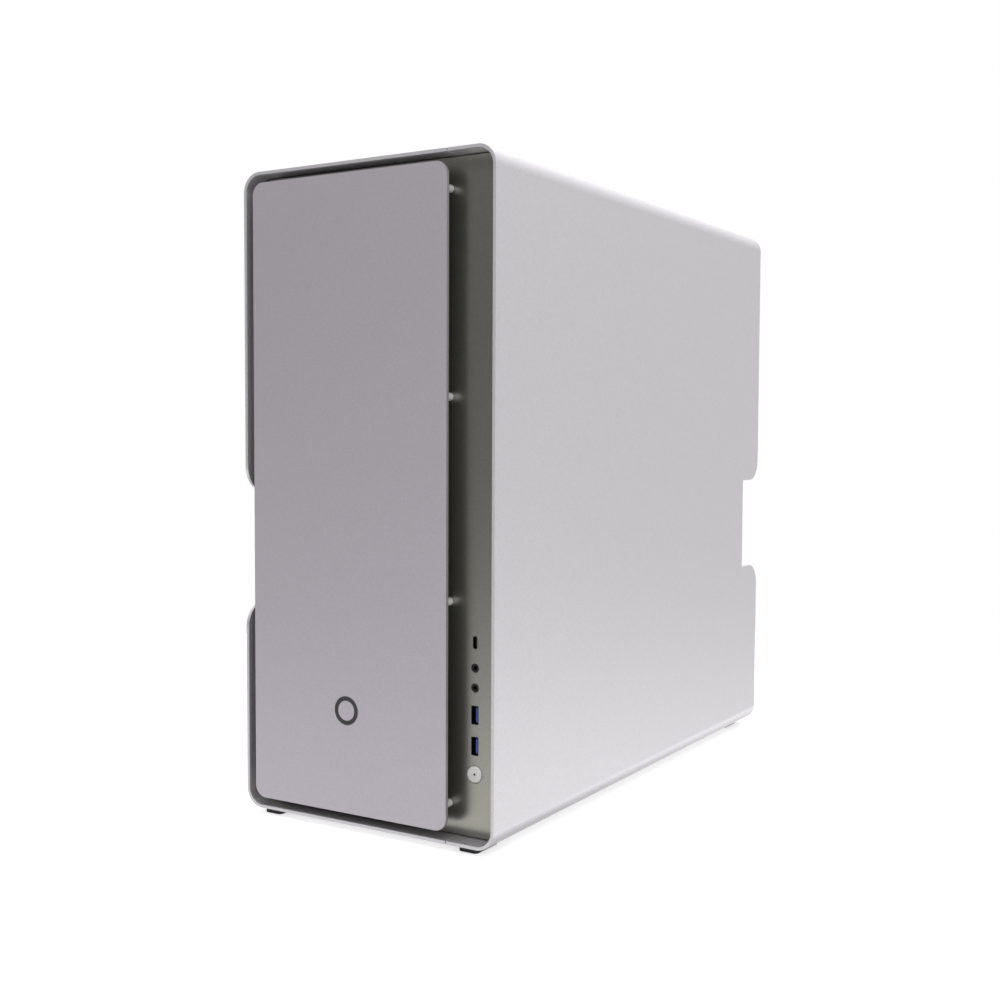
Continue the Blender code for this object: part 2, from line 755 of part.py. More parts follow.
def fan_frame_mesh():
    """Square fan frame with a round bore, and four struts that carry the motor cup at its back."""
    reach = FAN_SIZE / 2 - 0.001
    side = STRUT_W / 2
    low_z, high_z = GAP - FAN_T / 2, STRUT_T - FAN_T / 2
    outlines = [centred(0, 0, (FAN_SIZE, FAN_SIZE), FAN_CORNER_R), ring(0, 0, FAN_BORE_R, 32)]
    frame = place("frame", flat_mesh("frame", outlines, FAN_T), "black_plastic")
    for half_x, half_y in ((reach, side), (side, reach)):
        strut = ((-half_x, -half_y, low_z), (half_x, half_y, high_z))
        combine(frame, box_mesh("strut", [strut]), "UNION")
    cup_z = (STRUT_T - FAN_T) / 2
    combine(frame, cylinder_mesh("cup", HUB_R + 0.001, STRUT_T), "UNION", at=(0, 0, cup_z))
    mesh = evaluated_mesh(frame)
    remove_helpers()
    return mesh


def make_fans():
    frame_mesh = fan_frame_mesh()
    rotor = rotor_mesh("rotor", ROTOR_R, HUB_R, ROTOR_H)
    front_y = PANEL_BACK + GAP + FAN_T / 2
    fans = {
        f"front_fan_{i + 1}": (FAN_X, front_y, above_base(FRONT_FAN_H + (i - 1) * (FAN_SIZE + GAP)))
        for i in range(FRONT_FANS)
    }
    fans["rear_fan"] = (REAR_FAN_X, REAR_INNER_Y - FAN_T / 2, above_base(REAR_FAN_H))
    cooler_x = (COOLER_X[0] + COOLER_X[1]) / 2 + COOLER_FAN_SHIFT
    fans["cooler_fan"] = (cooler_x, behind_front(COOLER_D[0]) - GAP - FAN_T / 2, above_base(COOLER_H))
    for name, (x, y, z) in fans.items():
        place(f"{name}_frame", frame_mesh, "black_plastic", (x, y, z), "Y")
        place(f"{name}_rotor", rotor, "black_plastic", (x, y - ROTOR_OFFSET, z), "Y", smooth=True)
    return rotor


# Main board

def make_board():
    low, high = above_base(BOARD_H[0]), above_base(BOARD_H[1])
    front_y, rear_y = (behind_front(d) for d in BOARD_D)
    back_x = BOARD_FACE_X + BOARD_T
    box("motherboard", (BOARD_FACE_X, front_y, low), (back_x, rear_y, high), "circuit_board")
    make_rear_io()
    make_cooler()
    for i in range(2):
        y = behind_front(MEMORY_D + MEMORY_PITCH * i)
        box(
            f"memory_module_{i + 1}", (MEMORY_X, y, above_base(MEMORY_H[0])),
            (BOARD_FACE_X - MEMORY_LIFT, y + MEMORY_T, above_base(MEMORY_H[1])), "black_paint",
        )


def io_port(start, size, depth, mouth_y, z):
    """Opening of a port in its block, as a box that runs out past the mouth."""
    x = IO_BLOCK_X[0] + start
    over = 0.001
    return (x, mouth_y - depth, z - size[1] / 2), (x + size[0], mouth_y + over, z + size[1] / 2)


def make_rear_io():
    """Rear ports of the main board behind their shield: double USB-A stacks and a network socket."""
    outer_x, inner_x = IO_BLOCK_X
    half = IO_BLOCK_HALF
    mouth_y = REAR_PANEL_Y + 0.0005
    low, high = (above_base(h) for h in IO_H)
    outlines = [rectangle(IO_X[0] + GAP, low + GAP, IO_X[1] - GAP, high - GAP)]
    blocks, pockets, tongues = [], [], []
    for i, height in enumerate(IO_BLOCKS):
        z = above_base(height)
        outlines.append(rectangle(outer_x - GAP, z - half - GAP, inner_x + GAP, z + half + GAP))
        blocks.append(((outer_x, mouth_y - IO_BLOCK_DEPTH, z - half), (inner_x, mouth_y, z + half)))
        if i == NETWORK_BLOCK:
            pockets.append(io_port(NETWORK_PORT_START, NETWORK_PORT_SIZE, NETWORK_PORT_DEPTH, mouth_y, z))
            continue
        for start in IO_PORT_STARTS:
            pockets.append(io_port(start, IO_PORT_SIZE, IO_PORT_DEPTH, mouth_y, z))
            x = outer_x + start
            back, tip = mouth_y - IO_PORT_DEPTH - 0.001, mouth_y - 0.001
            tongues.append((
                (x + IO_TONGUE[0], back, z - IO_TONGUE_HALF), (x + IO_TONGUE[1], tip, z + IO_TONGUE_HALF),
            ))
    body = (
        (outer_x, mouth_y - IO_BODY_DEPTH, above_base(IO_BLOCKS[0]) - half),
        (BOARD_FACE_X - GAP, mouth_y - IO_BLOCK_DEPTH + 0.002, above_base(IO_BLOCKS[-1]) + half),
    )
    ports = place("rear_io_ports", box_mesh("rear_io_ports", [body]), "plated_steel")
    combine(ports, box_mesh("blocks", blocks), "UNION")
    combine(ports, box_mesh("pockets", pockets))
    combine(ports, box_mesh("tongues", tongues), "UNION")
    shield = flat_mesh("io_shield", outlines, IO_SHIELD_T)
    place("io_shield", shield, "plated_steel", (0, REAR_PANEL_Y, 0), "Y")


def make_cooler():
    """Tower cooler: a comb of fins on a spine, standing on the processor."""
    outer_x, foot_x = COOLER_X
    pitch = FIN_SPAN / (FINS - 1)
    upper = []
    for i in range(FINS):
        x = outer_x + i * pitch
        upper += [(x, SPINE_HALF), (x, FIN_HALF), (x + FIN_T, FIN_HALF), (x + FIN_T, SPINE_HALF)]
    lower = [(x, -z) for x, z in reversed(upper)]
    outline = [*upper[1:], (foot_x, SPINE_HALF), (foot_x, -SPINE_HALF), *lower[:-1]]
    mesh = flat_mesh("cpu_cooler", [outline], COOLER_D[1] - COOLER_D[0])
    middle_y = behind_front(sum(COOLER_D) / 2)
    place("cpu_cooler", mesh, "fin_aluminium", (0, middle_y, above_base(COOLER_H)), "Y")


# Expansion cards

def make_graphics_card():
    """Two-slot graphics card with two downward fans."""
    card_z = above_base(SLOT_TOP_H)
    rear_y = REAR_INNER_Y - GAP
    front_y = rear_y - CARD_D
    card = box(
        "graphics_board", (CARD_X[0], front_y, card_z),
        (CARD_X[1], rear_y - CARD_BRACKET_T / 2, card_z + BOARD_T), "circuit_board",
    )
    bracket = (
        (CARD_BRACKET_X[0], rear_y - CARD_BRACKET_T, card_z + CARD_BRACKET_RISE[0]),
        (CARD_BRACKET_X[1], rear_y, card_z + CARD_BRACKET_RISE[1]),
    )
    combine(card, box_mesh("bracket", [bracket]), "UNION")
    shroud_low = card_z - SHROUD_T
    shroud = box(
        "graphics_shroud", (SHROUD_X[0], front_y, shroud_low),
        (SHROUD_X[1], rear_y - SHROUD_SETBACK, card_z - GAP), "black_plastic",
    )
    rotor = rotor_mesh("small_rotor", SMALL_FAN_R, SMALL_HUB_R, SMALL_ROTOR_H)
    for i, back in enumerate(SMALL_FAN_BACK):
        y = rear_y - back
        well = cylinder_mesh("well", SMALL_FAN_R + WELL_GAP, 2 * WELL_DEPTH, 32)
        combine(shroud, well, at=(SMALL_FAN_X, y, shroud_low))
        at = (SMALL_FAN_X, y, shroud_low + SMALL_FAN_RISE)
        place(f"graphics_fan_{i + 1}", rotor, "black_plastic", at, smooth=True)


def make_slot_covers():
    """Covers on the free card slots, held by one strip along their inner ends."""
    rear_y = REAR_INNER_Y - GAP
    low_x, high_x = SLOT_X[0] - SLOT_COVER_MARGINS[0], SLOT_X[1] + SLOT_COVER_MARGINS[1]
    covers = []
    for height in slot_heights()[CARD_SLOTS:]:
        low, high = above_base(height - SLOT_COVER_HALF), above_base(height + SLOT_COVER_HALF)
        covers.append(((low_x, rear_y - SHEET_T, low), (high_x, rear_y, high)))
    (_, _, lowest), (_, _, highest) = covers[-1][0], covers[0][1]
    tab_low, tab_high = (SLOT_X[1] + reach for reach in SLOT_TAB)
    tab = ((tab_low, rear_y - SLOT_TAB_DEPTH, lowest), (tab_high, rear_y - GAP, highest))
    strip = place("slot_covers", box_mesh("slot_covers", [tab]), "steel_sheet")
    combine(strip, box_mesh("covers", covers), "UNION")


# Power supply

def make_power_supply(rotor):
    low_x, high_x = PSU_X
    low_z, high_z = (above_base(h) for h in PSU_H)
    rear_y = REAR_INNER_Y
    front_y = rear_y - PSU_D
    middle_x = (low_x + high_x) / 2
    middle_y = (front_y + rear_y) / 2
    case = box("psu_case", (low_x, front_y, low_z), (high_x, rear_y, high_z), "black_paint")
    walls = case.modifiers.new("walls", "SOLIDIFY")
    walls.thickness = PSU_SHEET
    walls.offset = -1
    walls.use_even_offset = True
    combine(case, cylinder_mesh("fan_hole", FAN_BORE_R, 0.010, 32), at=(middle_x, middle_y, high_z))
    port_z = above_base(PSU_PORT_H)
    inlet_cut = [half + INLET_CUT_GAP for half in INLET_HALF]
    cuts = [
        back_cut(
            INLET_X - inlet_cut[0], INLET_X + inlet_cut[0], port_z - inlet_cut[1], port_z + inlet_cut[1],
        ),
        back_cut(
            ROCKER_X - ROCKER_CUT_HALF[0], ROCKER_X + ROCKER_CUT_HALF[0],
            port_z - ROCKER_CUT_HALF[1], port_z + ROCKER_CUT_HALF[1],
        ),
    ]
    vent_low, vent_high = low_x + PSU_VENT_INSET, high_x - PSU_VENT_INSET
    for (rows, first, pitch, width), end_x in (
        (PSU_TOP_SLOTS, vent_high), (PSU_SIDE_SLOTS, ROCKER_X - PSU_SIDE_SLOT_GAP),
    ):
        for row in range(rows):
            z = low_z + first + pitch * row
            cuts.append(back_cut(vent_low, end_x, z, z + width))
    combine(case, box_mesh("cuts", cuts))
    rotor_z = high_z - PSU_SHEET - PSU_ROTOR_DROP
    place("psu_fan_rotor", rotor, "black_plastic", (middle_x, middle_y, rotor_z), smooth=True)
    make_inlet(rear_y, port_z)
    make_rocker(rear_y, port_z)


def back_cut(low_x, high_x, low_z, high_z):
    """Box through the power supply's back sheet."""
    reach = 0.004
    return (low_x, REAR_INNER_Y - reach, low_z), (high_x, REAR_INNER_Y + reach, high_z)


def about_inlet(half, front_y, back_y, port_z):
    return (INLET_X - half[0], front_y, port_z - half[1]), (INLET_X + half[0], back_y, port_z + half[1])


def make_inlet(rear_y, port_z):
    """Three-pin mains inlet: a cup with a thin flange outside the case."""
    body = about_inlet(INLET_HALF, rear_y - INLET_DEPTH, rear_y + INLET_PROUD / 2, port_z)
    flange = about_inlet(INLET_FLANGE, rear_y + GAP, rear_y + INLET_PROUD, port_z)
    pocket = about_inlet(INLET_POCKET, rear_y - INLET_POCKET_DEPTH, rear_y + 2 * INLET_PROUD, port_z)
    inlet = place("psu_inlet", box_mesh("psu_inlet", [body]), "black_plastic")
    combine(inlet, box_mesh("flange", [flange]), "UNION")
    combine(inlet, box_mesh("pocket", [pocket]))


def make_rocker(rear_y, port_z):
    """Rocker switch, tilted to its off side about a pivot that lies along X."""
    half_x, half_z = ROCKER_HALF
    low, high = (-half_x, -ROCKER_BACK, -half_z), (half_x, ROCKER_PROUD, half_z)
    rocker = box("psu_rocker", low, high, "black_plastic")
    rocker.location = (ROCKER_X, rear_y - ROCKER_PIVOT_BACK, port_z)
    rocker.rotation_euler = (-ROCKER_TILT, 0, 0)


# Storage and cables

def make_drives():
    low_z = FLOOR_TOP + GAP
    front_y = behind_front(DISK_D)
    width, length, height = DISK_SIZE
    inner_low, inner_high = DISK_X - GAP, DISK_X + width + GAP
    top_z, floor_z = low_z + CRADLE_H, low_z + SHEET_T
    outline = [
        (inner_low - SHEET_T, low_z), (inner_high + SHEET_T, low_z), (inner_high + SHEET_T, top_z),
        (inner_high, top_z), (inner_high, floor_z), (inner_low, floor_z),
        (inner_low, top_z), (inner_low - SHEET_T, top_z),
    ]
    cradle = flat_mesh("drive_cradle", [outline], CRADLE_D)
    place("drive_cradle", cradle, "steel_sheet", (0, front_y + length / 2, 0), "Y")
    drive_z = floor_z + GAP
    box(
        "hard_drive", (DISK_X, front_y, drive_z), (DISK_X + width, front_y + length, drive_z + height),
        "fin_aluminium",
    )
    low = (TRAY_X + SHEET_T + GAP, behind_front(SSD_D), above_base(SSD_H))
    high = [corner + size for corner, size in zip(low, SSD_SIZE)]
    box("solid_state_drive", low, high, "black_paint")


def smooth_route(points, steps):
    """Catmull-Rom curve through a route's points."""
    before = [2 * a - b for a, b in zip(points[0], points[1])]
    after = [2 * a - b for a, b in zip(points[-1], points[-2])]
    around = [before, *points, after]
    route = []
    for p0, p1, p2, p3 in zip(around, around[1:], around[2:], around[3:]):
        for i in range(steps):
            t = i / steps
            route.append([
                b + t * ((c - a) + t * ((2 * a - 5 * b + 4 * c - d) + t * (3 * b - a - 3 * c + d))) / 2
                for a, b, c, d in zip(p0, p1, p2, p3)
            ])
    return [*route, list(points[-1])]


def cable(name, radius, route):
    """Sleeved cable along (x, distance behind the front, height above the base) points."""
    points = [(x, behind_front(d), above_base(h)) for x, d, h in route]
    curve = bpy.data.curves.new(name, "CURVE")
    curve.dimensions = "3D"
    curve.bevel_depth = radius
    curve.bevel_resolution = 2
    curve.use_fill_caps = True
    spline = curve.splines.new("POLY")
    smooth = smooth_route(points, 3)
    spline.points.add(len(smooth) - 1)
    for point, (x, y, z) in zip(spline.points, smooth):
        point.co = (x, y, z, 1.0)
    guide = bpy.data.objects.new(name, curve)
    PARTS.objects.link(guide)
    place(name, welded(evaluated_mesh(guide)), "cable_sleeve", smooth=True)


def make_cables():
    box(
        "main_power_plug", (PLUG_X, behind_front(PLUG_D[0]), above_base(PLUG_H[0])),
        (BOARD_FACE_X - GAP, behind_front(PLUG_D[1]), above_base(PLUG_H[1])), "black_plastic",
    )
    psu_front = REAR_INNER_Y - PSU_D - GAP - FRONT
    cable("main_power_cable", MAIN_CABLE_R, [
        (0.030, psu_front, MAIN_CABLE_H), (0.030, psu_front - 0.030, MAIN_CABLE_H), (0.033, 0.228, 0.078),
        (0.036, 0.196, 0.120), (0.036, 0.184, 0.180), (0.030, 0.180, 0.240), (0.018, 0.184, 0.290),
        (0.012, 0.204, 0.318), (0.024, 0.2265, 0.326), (0.032, 0.2275, 0.326), (0.0405, 0.2275, 0.326),
    ])
    board_x = PORT_X + USB_A_SHELL[0] / 2 + IO_BOARD_BEHIND_PORTS + BOARD_T / 2
    cable("front_io_cable", PORT_CABLE_R, [
        (board_x, 0.0505, 0.112), (board_x, 0.064, 0.112), (0.092, 0.086, 0.112), (0.087, 0.130, 0.113),
        (0.085, 0.168, 0.114), (0.080, 0.188, 0.115), (0.072, 0.196, 0.115), (0.058, 0.204, 0.118),
        (0.052, 0.226, 0.130), (0.056, 0.242, 0.138), (0.066, 0.243, 0.139),
    ])


clear_scene()
PARTS = collection("desktop_computer_tower")
CUTTERS = collection("cutters")
make_shells()
make_front_plate()
make_front_panel()
make_ports()
make_power_button()
make_chassis()
fan_rotor = make_fans()
make_board()
make_graphics_card()
make_slot_covers()
make_power_supply(fan_rotor)
make_drives()
make_cables()
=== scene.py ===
"""Looks of a desktop computer tower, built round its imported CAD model.

Metres, in the CAD model's frame: the front looks along -Y, +X is the right-hand side, Z = 0 is the ground.
"""
import json
import math
from functools import cache

import bmesh
import bpy
from mathutils import Euler, Matrix, Vector


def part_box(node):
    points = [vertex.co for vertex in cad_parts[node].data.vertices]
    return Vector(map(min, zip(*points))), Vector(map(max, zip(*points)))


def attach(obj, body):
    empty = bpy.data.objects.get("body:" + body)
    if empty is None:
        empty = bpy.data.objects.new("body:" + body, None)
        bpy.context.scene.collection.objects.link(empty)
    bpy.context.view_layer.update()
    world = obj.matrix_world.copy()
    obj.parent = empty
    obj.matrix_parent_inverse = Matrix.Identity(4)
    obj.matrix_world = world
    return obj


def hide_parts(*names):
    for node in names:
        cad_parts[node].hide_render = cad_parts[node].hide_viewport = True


MM = 0.001

# Shapes that the frame's boxes don't tell
SHEET_T = 2.5 * MM
CORNER_R = 15 * MM
EDGE = 0.35 * MM  # width of the facet along a sharp edge
NOTCH_LOW = 167.2 * MM
NOTCH_HIGH = 254.5 * MM
NOTCH_DEPTH = 41 * MM
NOTCH_R = 20 * MM
PLATE_R = 9.5 * MM
PORT_WALL = 0.4 * MM  # steel shell of a front port
FAN_NAMES = ("front_fan_1", "front_fan_2", "front_fan_3", "rear_fan", "cooler_fan")
CARD_FANS = ("graphics_fan_1", "graphics_fan_2")
FAN_BORE_R = 58 * MM
FAN_SCREWS = 105 * MM  # between the screws of a 120 mm fan
VENT_PITCH = 7.6 * MM
VENT_WALL = 1.5 * MM
SLOTS = 7
CARD_SLOTS = 2
SLOT_TOP_Z = 267.7 * MM
SLOT_PITCH = 20.32 * MM
SLOT_HALF = 6.25 * MM  # half the height of a slot's opening
REAR_PORT_Z = (293 * MM, 316 * MM, 338 * MM, 360 * MM, 384 * MM, 417 * MM)
NETWORK_ROW = 3  # the rear port block with one network socket
ROCKER_REST = 8  # degrees that the switch leans at rest

# Camera: where it stands, and how it is turned
CAMERA_AT = (0.5924, -1.03515, 0.3030)
CAMERA_YAW = math.radians(31.35)
CAMERA_PITCH = math.radians(-3.01)
CAMERA_ROLL = math.radians(0.24)
CAMERA_LENS = 47.29

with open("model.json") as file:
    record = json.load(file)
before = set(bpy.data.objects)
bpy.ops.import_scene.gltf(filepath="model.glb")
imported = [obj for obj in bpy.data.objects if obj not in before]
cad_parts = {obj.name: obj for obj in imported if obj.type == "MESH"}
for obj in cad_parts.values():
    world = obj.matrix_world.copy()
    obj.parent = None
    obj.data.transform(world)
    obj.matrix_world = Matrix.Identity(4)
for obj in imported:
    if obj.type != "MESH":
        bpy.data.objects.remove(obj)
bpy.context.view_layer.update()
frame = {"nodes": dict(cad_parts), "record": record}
BODY_OF = {
    node: body for body, nodes in frame["record"]["behaviour"]["bodies"].items() for node in nodes
}


def joint_of(body):
    """The record's joint that moves this body."""
    return next(joint for joint in frame["record"]["behaviour"]["joints"] if joint["child"] == body)


# ---------------------------------------------------------------- materials

def linear(hex_colour):
    """sRGB hex, such as C8C8CC, as the linear colour that a shader takes."""
    channels = [int(hex_colour[i:i + 2], 16) / 255 for i in (0, 2, 4)]
    return (*[c / 12.92 if c <= 0.04045 else ((c + 0.055) / 1.055) ** 2.4 for c in channels], 1.0)


def add(tree, kind, inputs=(), **settings):
    """Adds a node: settings are its properties, inputs are socket values or the sockets that feed them."""
    node = tree.nodes.new(kind)
    for key, value in settings.items():
        setattr(node, key, value)
    for key, value in dict(inputs).items():
        if isinstance(value, bpy.types.NodeSocket):
            tree.links.new(value, node.inputs[key])
        else:
            node.inputs[key].default_value = value
    return node


def surface(name, **sockets):
    """A Principled material with these uniform values, its tree, shader and the object's own coordinates."""
    made = bpy.data.materials.new(name)
    made.use_nodes = True
    tree = made.node_tree
    shader = tree.nodes["Principled BSDF"]
    for key, value in sockets.items():
        shader.inputs[key.replace("_", " ")].default_value = value
    return made, tree, shader, add(tree, "ShaderNodeTexCoord").outputs["Object"]


def per_metre(millimetres):
    """Texture scale whose features are this many millimetres across."""
    return 1 / (millimetres * MM)


def mottled(tree, shader, place, low, high, size_mm, detail=3.0):
    """Colour that drifts between two hex colours over patches of this size."""
    noise = add(tree, "ShaderNodeTexNoise", {"Vector": place, "Scale": per_metre(size_mm), "Detail": detail})
    ramp = add(tree, "ShaderNodeValToRGB", {"Fac": noise.outputs["Fac"]})
    ramp.color_ramp.elements[0].position = 0.35
    ramp.color_ramp.elements[1].position = 0.65
    ramp.color_ramp.elements[0].color = linear(low)
    ramp.color_ramp.elements[1].color = linear(high)
    tree.links.new(ramp.outputs["Color"], shader.inputs["Base Color"])
    return ramp


def grained(tree, shader, place, size_mm, depth_mm, strength=1.0, rough=None):
    """Fine bumps of this size and depth, and a roughness that follows them if a low and high are given."""
    noise = add(tree, "ShaderNodeTexNoise", {"Vector": place, "Scale": per_metre(size_mm), "Detail": 2.0})
    bump = add(
        tree, "ShaderNodeBump",
        {"Height": noise.outputs["Fac"], "Strength": strength, "Distance": depth_mm * MM},
    )
    tree.links.new(bump.outputs["Normal"], shader.inputs["Normal"])
    if rough:
        low, high = rough
        spread = add(
            tree, "ShaderNodeMapRange",
            {"Value": noise.outputs["Fac"], "From Min": 0.3, "From Max": 0.7, "To Min": low, "To Max": high},
        )
        tree.links.new(spread.outputs["Result"], shader.inputs["Roughness"])


def skin(name, colours, patch_mm, grain, rough, detail=3.0, **sockets):
    """A surface of these two colours in patches, under a grain of (size, depth, strength), in millimetres."""
    made, tree, shader, place = surface(name, **sockets)
    mottled(tree, shader, place, *colours, patch_mm, detail)
    grained(tree, shader, place, *grain, rough)
    return made


def blasted_anodising(name, dark, light, rough):
    # Aluminium sheet, bead-blasted and clear anodised: a soft metal sheen with a fine sparkle of dimples.
    # The real dimples are about 0.1 mm. They are drawn 0.9 mm wide so that they show.
    return skin(name, (dark, light), 1.3, (0.9, 0.006, 1.0), rough, 2.0, Metallic=0.7)


@cache
def stud_anodising():
    # Turned studs with clear anodising over a bead-blasted skin: soft. Their near-white colour is painted
    # light. It is paler than the covers' same anodising and makes the studs, which stand in shade behind the
    # plate, read as brightly lit.
    made, tree, shader, place = surface("stud_anodising", Metallic=0.5, Roughness=0.4)
    # Painted light: near-white tones that lift the studs out of the shade they stand in.
    mottled(tree, shader, place, "E2E2E4", "ECECEE", 0.8)
    return made


@cache
def satin_panel_anodising():
    # Satin anodising on the recessed panel: smoother than the covers, faintly green.
    colours = ("898982", "8E8E86")
    return skin("satin_panel_anodising", colours, 1.3, (0.9, 0.002, 1.0), (0.28, 0.33), 2.0, Metallic=0.9)


@cache
def nickel_plate():
    # Nickel-plated steel: bright, warm grey, with a faint polished grain.
    return skin("nickel_plate", ("BAB8B5", "C1BFBC"), 1.5, (0.4, 0.004, 1.0), (0.16, 0.30), Metallic=1.0)


@cache
def black_nickel():
    # Black nickel on the small port shells: dark, glossy, with a brown cast.
    return skin("black_nickel", ("1B1A18", "24221F"), 1.0, (0.4, 0.004, 1.0), (0.22, 0.34), Metallic=1.0)


def turned_aluminium(centre):
    # Turned and anodised aluminium: fine rings round the button's axis catch the light in two fans.
    made, tree, shader, place = surface("turned_aluminium", Metallic=0.75, Roughness=0.45)
    shader.inputs["Base Color"].default_value = linear("CFCFCC")
    moved = add(tree, "ShaderNodeMapping", {"Vector": place, "Location": [-c for c in centre]})
    across = add(tree, "ShaderNodeMapping", {"Vector": moved.outputs["Vector"], "Scale": (1, 0, 1)})
    rings = add(
        tree, "ShaderNodeTexWave",
        {"Vector": across.outputs["Vector"], "Scale": per_metre(1.2), "Distortion": 0.4, "Detail": 1.0},
        wave_type="RINGS", rings_direction="SPHERICAL",
    )
    bump = add(
        tree, "ShaderNodeBump", {"Height": rings.outputs["Fac"], "Strength": 0.5, "Distance": 0.01 * MM},
    )
    tree.links.new(bump.outputs["Normal"], shader.inputs["Normal"])
    return made


@cache
def moulded(name, dark, light, rough=(0.42, 0.58), grain_mm=0.8):
    # Injection-moulded plastic: spark-eroded texture in the tool gives an even, fine grain.
    return skin(name, (dark, light), 6.0, (grain_mm, 0.03, 0.6), rough, IOR=1.52)


@cache
def foot_rubber():
    # Moulded rubber: near black, dull, slightly dusty.
    return skin("foot_rubber", ("0E0E0E", "1B1B1B"), 3.0, (0.7, 0.05, 0.8), (0.75, 0.9), IOR=1.5)


@cache
def powder_coat():
    # Black powder coat on the steel chassis: fine orange peel, satin.
    return skin("black_powder_coat", ("161618", "1E1E20"), 4.0, (0.9, 0.05, 0.8), (0.42, 0.58), IOR=1.5)


@cache
def zinc_plate():
    # Zinc-plated screws: blue-white and slightly cloudy.
    return skin("zinc_plate", ("A9ABAF", "BDBFC2"), 1.5, (0.5, 0.01, 0.8), (0.25, 0.4), Metallic=1.0)


@cache
def brass():
    # Turned brass posts under the main board: yellow, with a bright cut face.
    return skin("turned_brass", ("A8823F", "C09A52"), 1.5, (0.5, 0.01, 0.8), (0.25, 0.4), Metallic=1.0)


@cache
def gold_plate():
    # Hard gold on contacts: thin, bright, yellow.
    return skin("gold_plate", ("C9A24A", "D9B45C"), 1.0, (0.4, 0.004, 0.8), (0.18, 0.3), Metallic=1.0)


@cache
def drawn_aluminium():
    # Capacitor cans and the clock cell: drawn metal, pale and softly grained.
    colours = ("A6A8AB", "B8BABD")
    return skin("drawn_aluminium_can", colours, 1.2, (0.5, 0.01, 0.8), (0.28, 0.42), Metallic=1.0)


@cache
def brushed_fins():
    # Stamped aluminium fins: rolled sheet, with its fine rolling lines along one way.
    made, tree, shader, place = surface("rolled_aluminium_fin", Metallic=1.0)
    stretched = add(tree, "ShaderNodeMapping", {"Vector": place, "Scale": (1.0, 1.0, 0.08)})
    mottled(tree, shader, stretched.outputs["Vector"], "B2B4B7", "C4C6C9", 1.0)
    grained(tree, shader, stretched.outputs["Vector"], 0.5, 0.01, 0.7, (0.28, 0.4))
    return made


@cache
def cast_aluminium():
    # Die-cast drive body: dull grey with a coarse skin.
    return skin("die_cast_aluminium", ("85878A", "989A9D"), 3.0, (1.0, 0.05, 0.8), (0.4, 0.55), Metallic=0.9)


@cache
def anodised_black():
    # Black anodised aluminium: dark, with a soft metal sheen.
    return skin("black_anodising", ("1C1C1F", "26262A"), 1.5, (0.8, 0.01, 0.8), (0.34, 0.46), Metallic=0.8)


@cache
def solder_mask():
    # Matt black solder mask over copper: the tracks under it show as faint raised bands some 3 mm wide.
    made, tree, shader, place = surface("black_solder_mask", IOR=1.5)
    cells = add(
        tree, "ShaderNodeTexVoronoi", {"Vector": place, "Scale": per_metre(6.0), "Randomness": 1.0},
        distance="CHEBYCHEV",
    )
    track = add(
        tree, "ShaderNodeTexWave",
        {"Vector": place, "Scale": per_metre(6.25), "Distortion": 2.0, "Detail": 1.0},
    )
    lines = add(
        tree, "ShaderNodeMath", {0: cells.outputs["Distance"], 1: track.outputs["Fac"]}, operation="MULTIPLY",
    )
    ramp = add(tree, "ShaderNodeValToRGB", {"Fac": lines.outputs["Value"]})
    ramp.color_ramp.elements[0].position = 0.18
    ramp.color_ramp.elements[1].position = 0.24
    ramp.color_ramp.elements[0].color = linear("121214")
    ramp.color_ramp.elements[1].color = linear("1D1D21")
    bump = add(
        tree, "ShaderNodeBump", {"Height": ramp.outputs["Color"], "Strength": 0.6, "Distance": 0.05 * MM},
    )
    tree.links.new(ramp.outputs["Color"], shader.inputs["Base Color"])
    tree.links.new(bump.outputs["Normal"], shader.inputs["Normal"])
    shader.inputs["Roughness"].default_value = 0.45
    return made


@cache
def braided_sleeve():
    # Braided polyester sleeve: crossed strands about 1.2 mm wide, dull and black, with painted shade. Each
    # strand is lighter at its middle and darker towards its edges, where the bump sinks it.
    made, tree, shader, place = surface("braided_sleeve", IOR=1.5, Roughness=0.75, Sheen_Weight=0.3)
    braid = add(tree, "ShaderNodeTexVoronoi", {"Vector": place, "Scale": per_metre(1.2), "Randomness": 0.25})
    # Painted shade: the ramp darkens the braid wherever its cells meet and the bump sinks the surface.
    ramp = add(tree, "ShaderNodeValToRGB", {"Fac": braid.outputs["Distance"]})
    ramp.color_ramp.elements[0].color = linear("242426")
    ramp.color_ramp.elements[1].color = linear("08080A")
    bump = add(
        tree, "ShaderNodeBump", {"Height": braid.outputs["Distance"], "Strength": 0.8, "Distance": -0.4 * MM},
    )
    tree.links.new(ramp.outputs["Color"], shader.inputs["Base Color"])
    tree.links.new(bump.outputs["Normal"], shader.inputs["Normal"])
    return made


@cache
def heatsink_anodising():
    # Clear anodising on extruded and pressed aluminium inside: mid grey with a satin sheen.
    return blasted_anodising("clear_anodised_heatsink", "A2A3A6", "ADAEB1", (0.38, 0.48))


def jack_plastic():
    # Glass-filled nylon of jacks, tongues and plugs: near black and dull.
    return moulded("jack_plastic", "070708", "0C0C0D", (0.55, 0.7))


def blue_plastic():
    # Blue nylon tongues of the fast ports: deep blue with a slight gloss.
    return moulded("blue_port_plastic", "123781", "184494", (0.35, 0.45), 0.5)


def ferrite():
    # Pressed ferrite of the power chokes: dark grey and dry.
    return moulded("pressed_ferrite", "3A3A3D", "48484C", (0.5, 0.65), 0.6)


def foil_label():
    # Plain satin foil on the fan hubs: pale grey with a soft gloss.
    return moulded("satin_foil_label", "8F9194", "9EA0A3", (0.3, 0.4), 0.6)


def epoxy_chip():
    # Moulded epoxy chip bodies: black, smooth and slightly glossy.
    return moulded("epoxy_chip", "131315", "1A1A1C", (0.3, 0.4), 0.5)


# ---------------------------------------------------------------- outlines

